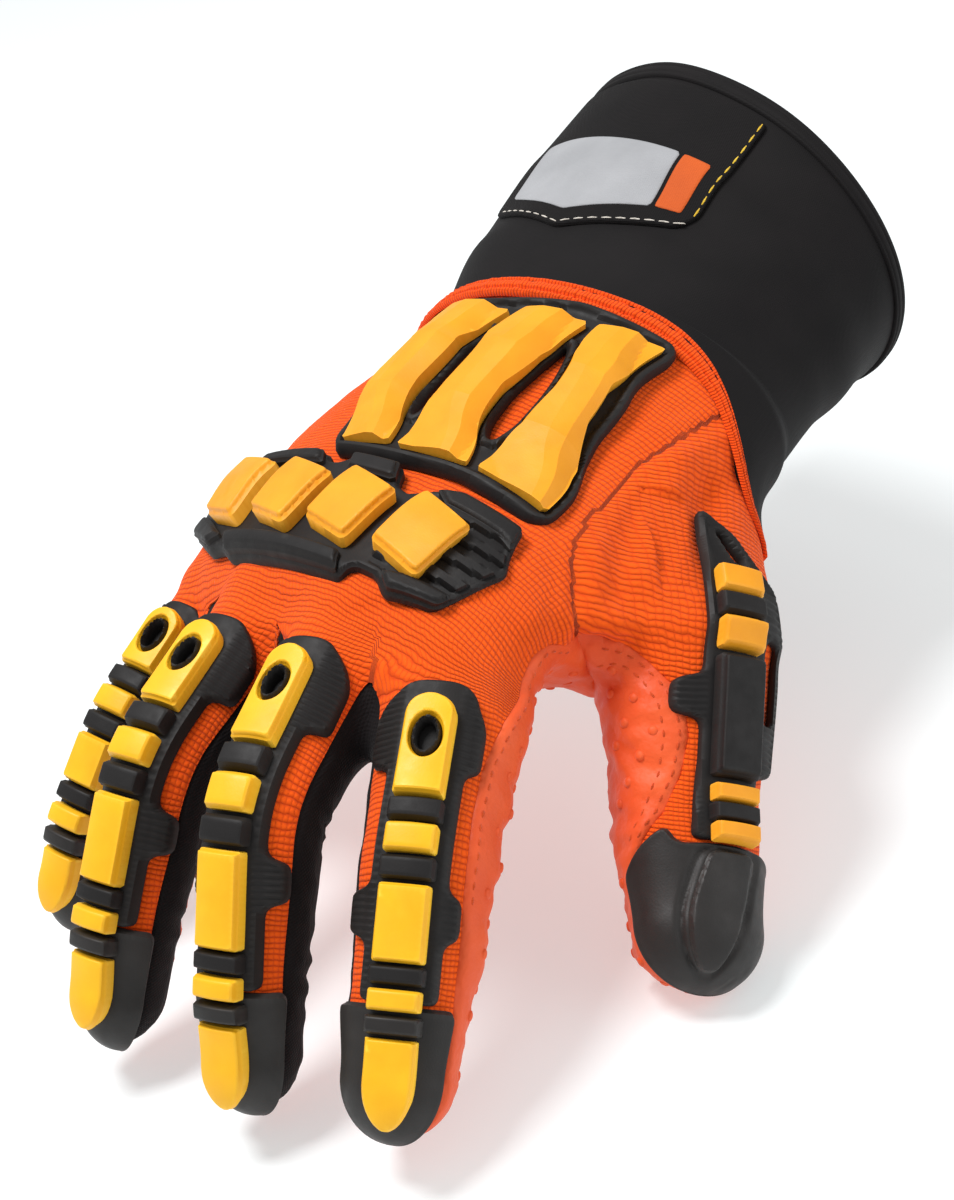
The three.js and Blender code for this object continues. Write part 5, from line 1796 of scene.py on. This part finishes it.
piece("label_ground", [
    relief(on_cuff, rounded(LABEL, 2), flat_top(0.2, 1.3, 0.1, 0.8), 0.2, 1.1, levels=(0.15, 0.5, 0.9)),
], PATCH_CLOTH, ["cuff_label"])
piece("label_field", [
    relief(on_cuff, rounded(LABEL_FIELD, 1), flat_top(1.1, 1.65, 0.1, 0.5), 1.1, 1.1, levels=(0.15, 0.6)),
], LABEL_GREY, ["label_panel"])
piece("label_bar", [
    relief(on_cuff, rounded(LABEL_BAR, 0.6), flat_top(1.1, 1.65, 0.1, 0.5), 1.1, 1.0, levels=(0.15, 0.6)),
], LABEL_ORANGE, ["label_strip"])


def cuff_line(corners, h):
    """A line over the cuff through corners of arc and y, with its outward directions."""
    corners = np.array(corners, float)
    travelled = np.concatenate([[0], np.cumsum(np.linalg.norm(np.diff(corners, axis=0), axis=1))])
    at = np.arange(0, travelled[-1], 0.4)
    arc, y = (np.interp(at, travelled, corners[:, k]) for k in (0, 1))
    line = on_cuff(arc, y, h)
    return line, on_cuff(arc, y, h + 1) - line


# The label's stitch lines: corners as arc and y, thread, slot, half the width and height of a stitch
LABEL_STITCHES = {
    "label_side_stitching": (
        [(18, 53.4), (15.3, 21.4), (14.6, 18)], YELLOW_THREAD, "label_orange", 0.26, 0.2,
    ),
    "label_end_stitching": (
        [(14.4, 17.6), (12.5, 16.5), (-15.9, 8.9), (-43.4, 18.6)], WHITE_THREAD, "label_grey", 0.2, 0.16,
    ),
}
LABEL_TOP = 1.3
for name, (corners, thread, slot, wide, tall) in LABEL_STITCHES.items():
    sewn = stitches(*cuff_line(corners, LABEL_TOP), 3.2, 0.25, wide, tall)
    piece(name, [sewn], thread, [])


# Camera at the photograph's angle, floor and studio light

FOCAL = 2333.27
PHOTO = (954, 1200)
PHOTO_AXES = np.array([[-0.833, -0.526, -0.171], [-0.24, 0.621, -0.746], [0.498, -0.581, -0.644]])
PHOTO_PLACE = np.array([30.4, -54.3, 539.9])
u_part, _, v_part = np.linalg.svd(PHOTO_AXES)
hand_to_camera = (u_part @ v_part) @ np.diag([-1.0, -1.0, 1.0])
row_to_camera = hand_to_camera @ ROW_TURN.T
camera_data = bpy.data.cameras.new("photo_camera")
camera_data.sensor_fit = "VERTICAL"
camera_data.sensor_height = 36
camera_data.lens = FOCAL * 36 / PHOTO[1]
camera_data.clip_start = 0.02
camera_data.clip_end = 20
camera = bpy.data.objects.new("photo_camera", camera_data)
camera_turn = (np.diag([1.0, -1.0, -1.0]) @ row_to_camera).T
pose = Matrix(camera_turn.tolist()).to_4x4()
pose.translation = (-row_to_camera.T @ PHOTO_PLACE * 0.001).tolist()
camera.matrix_world = pose
bpy.context.scene.collection.objects.link(camera)
bpy.context.scene.camera = camera

# Metres and linear colour: the floor is a little cyan and gives light, which weakens the glove's red bounce
FLOOR_DROP = 0.0005
HALF_FLOOR = 4
FLOOR_COLOUR = (0.58, 0.62, 0.625, 1)
FLOOR_GLOW = 0.44
WORLD_LIGHT = 0.55
LIT_PLACE = np.array([0.0, -0.06, -0.02])
# Lights: place seen from the camera as right, up and towards it, width, power
LIGHTS = {
    "key": ((-0.5, 0.75, 0.45), 0.4, 10),
    "fill": ((0.8, 0.3, 0.6), 0.8, 2.4),
}

floor_z = cad_box[0][2] - FLOOR_DROP
corners = [(-1, -1), (1, -1), (1, 1), (-1, 1)]
floor_mesh = bpy.data.meshes.new("floor")
floor_mesh.from_pydata([(x * HALF_FLOOR, y * HALF_FLOOR, floor_z) for x, y in corners], [], [(0, 1, 2, 3)])
floor = bpy.data.objects.new("floor", floor_mesh)
bpy.context.scene.collection.objects.link(floor)
floor_paint = bpy.data.materials.new("floor_paint")
floor_paint.use_nodes = True
floor_shader = floor_paint.node_tree.nodes["Principled BSDF"]
for socket, value in (
    ("Base Color", FLOOR_COLOUR), ("Emission Color", (1, 1, 1, 1)), ("Emission Strength", FLOOR_GLOW),
    ("Roughness", 0.9), ("Specular IOR Level", 0.1),
):
    floor_shader.inputs[socket].default_value = value
floor_mesh.materials.append(floor_paint)

world = bpy.data.worlds.new("studio")
world.use_nodes = True
background = world.node_tree.nodes["Background"]
background.inputs["Color"].default_value = (1, 1, 1, 1)
background.inputs["Strength"].default_value = WORLD_LIGHT
bpy.context.scene.world = world
bpy.context.scene.view_settings.view_transform = "Standard"


def area_light(name, place, size, power):
    """A round light that faces the glove."""
    data = bpy.data.lights.new(name, "AREA")
    data.shape = "DISK"
    data.size = size
    data.energy = power
    light = bpy.data.objects.new(name, data)
    aim = LIT_PLACE - place
    z_axis = -aim / np.linalg.norm(aim)
    x_axis = np.cross([0, 0, 1], z_axis)
    x_axis /= np.linalg.norm(x_axis)
    y_axis = np.cross(z_axis, x_axis)
    pose = Matrix(np.stack([x_axis, y_axis, z_axis], 1).tolist()).to_4x4()
    pose.translation = place.tolist()
    light.matrix_world = pose
    bpy.context.scene.collection.objects.link(light)


for name, (seen, size, power) in LIGHTS.items():
    area_light(name, LIT_PLACE + camera_turn @ np.array(seen), size, power)

print("pieces", len(made), "triangles", sum(count for _, count in made))
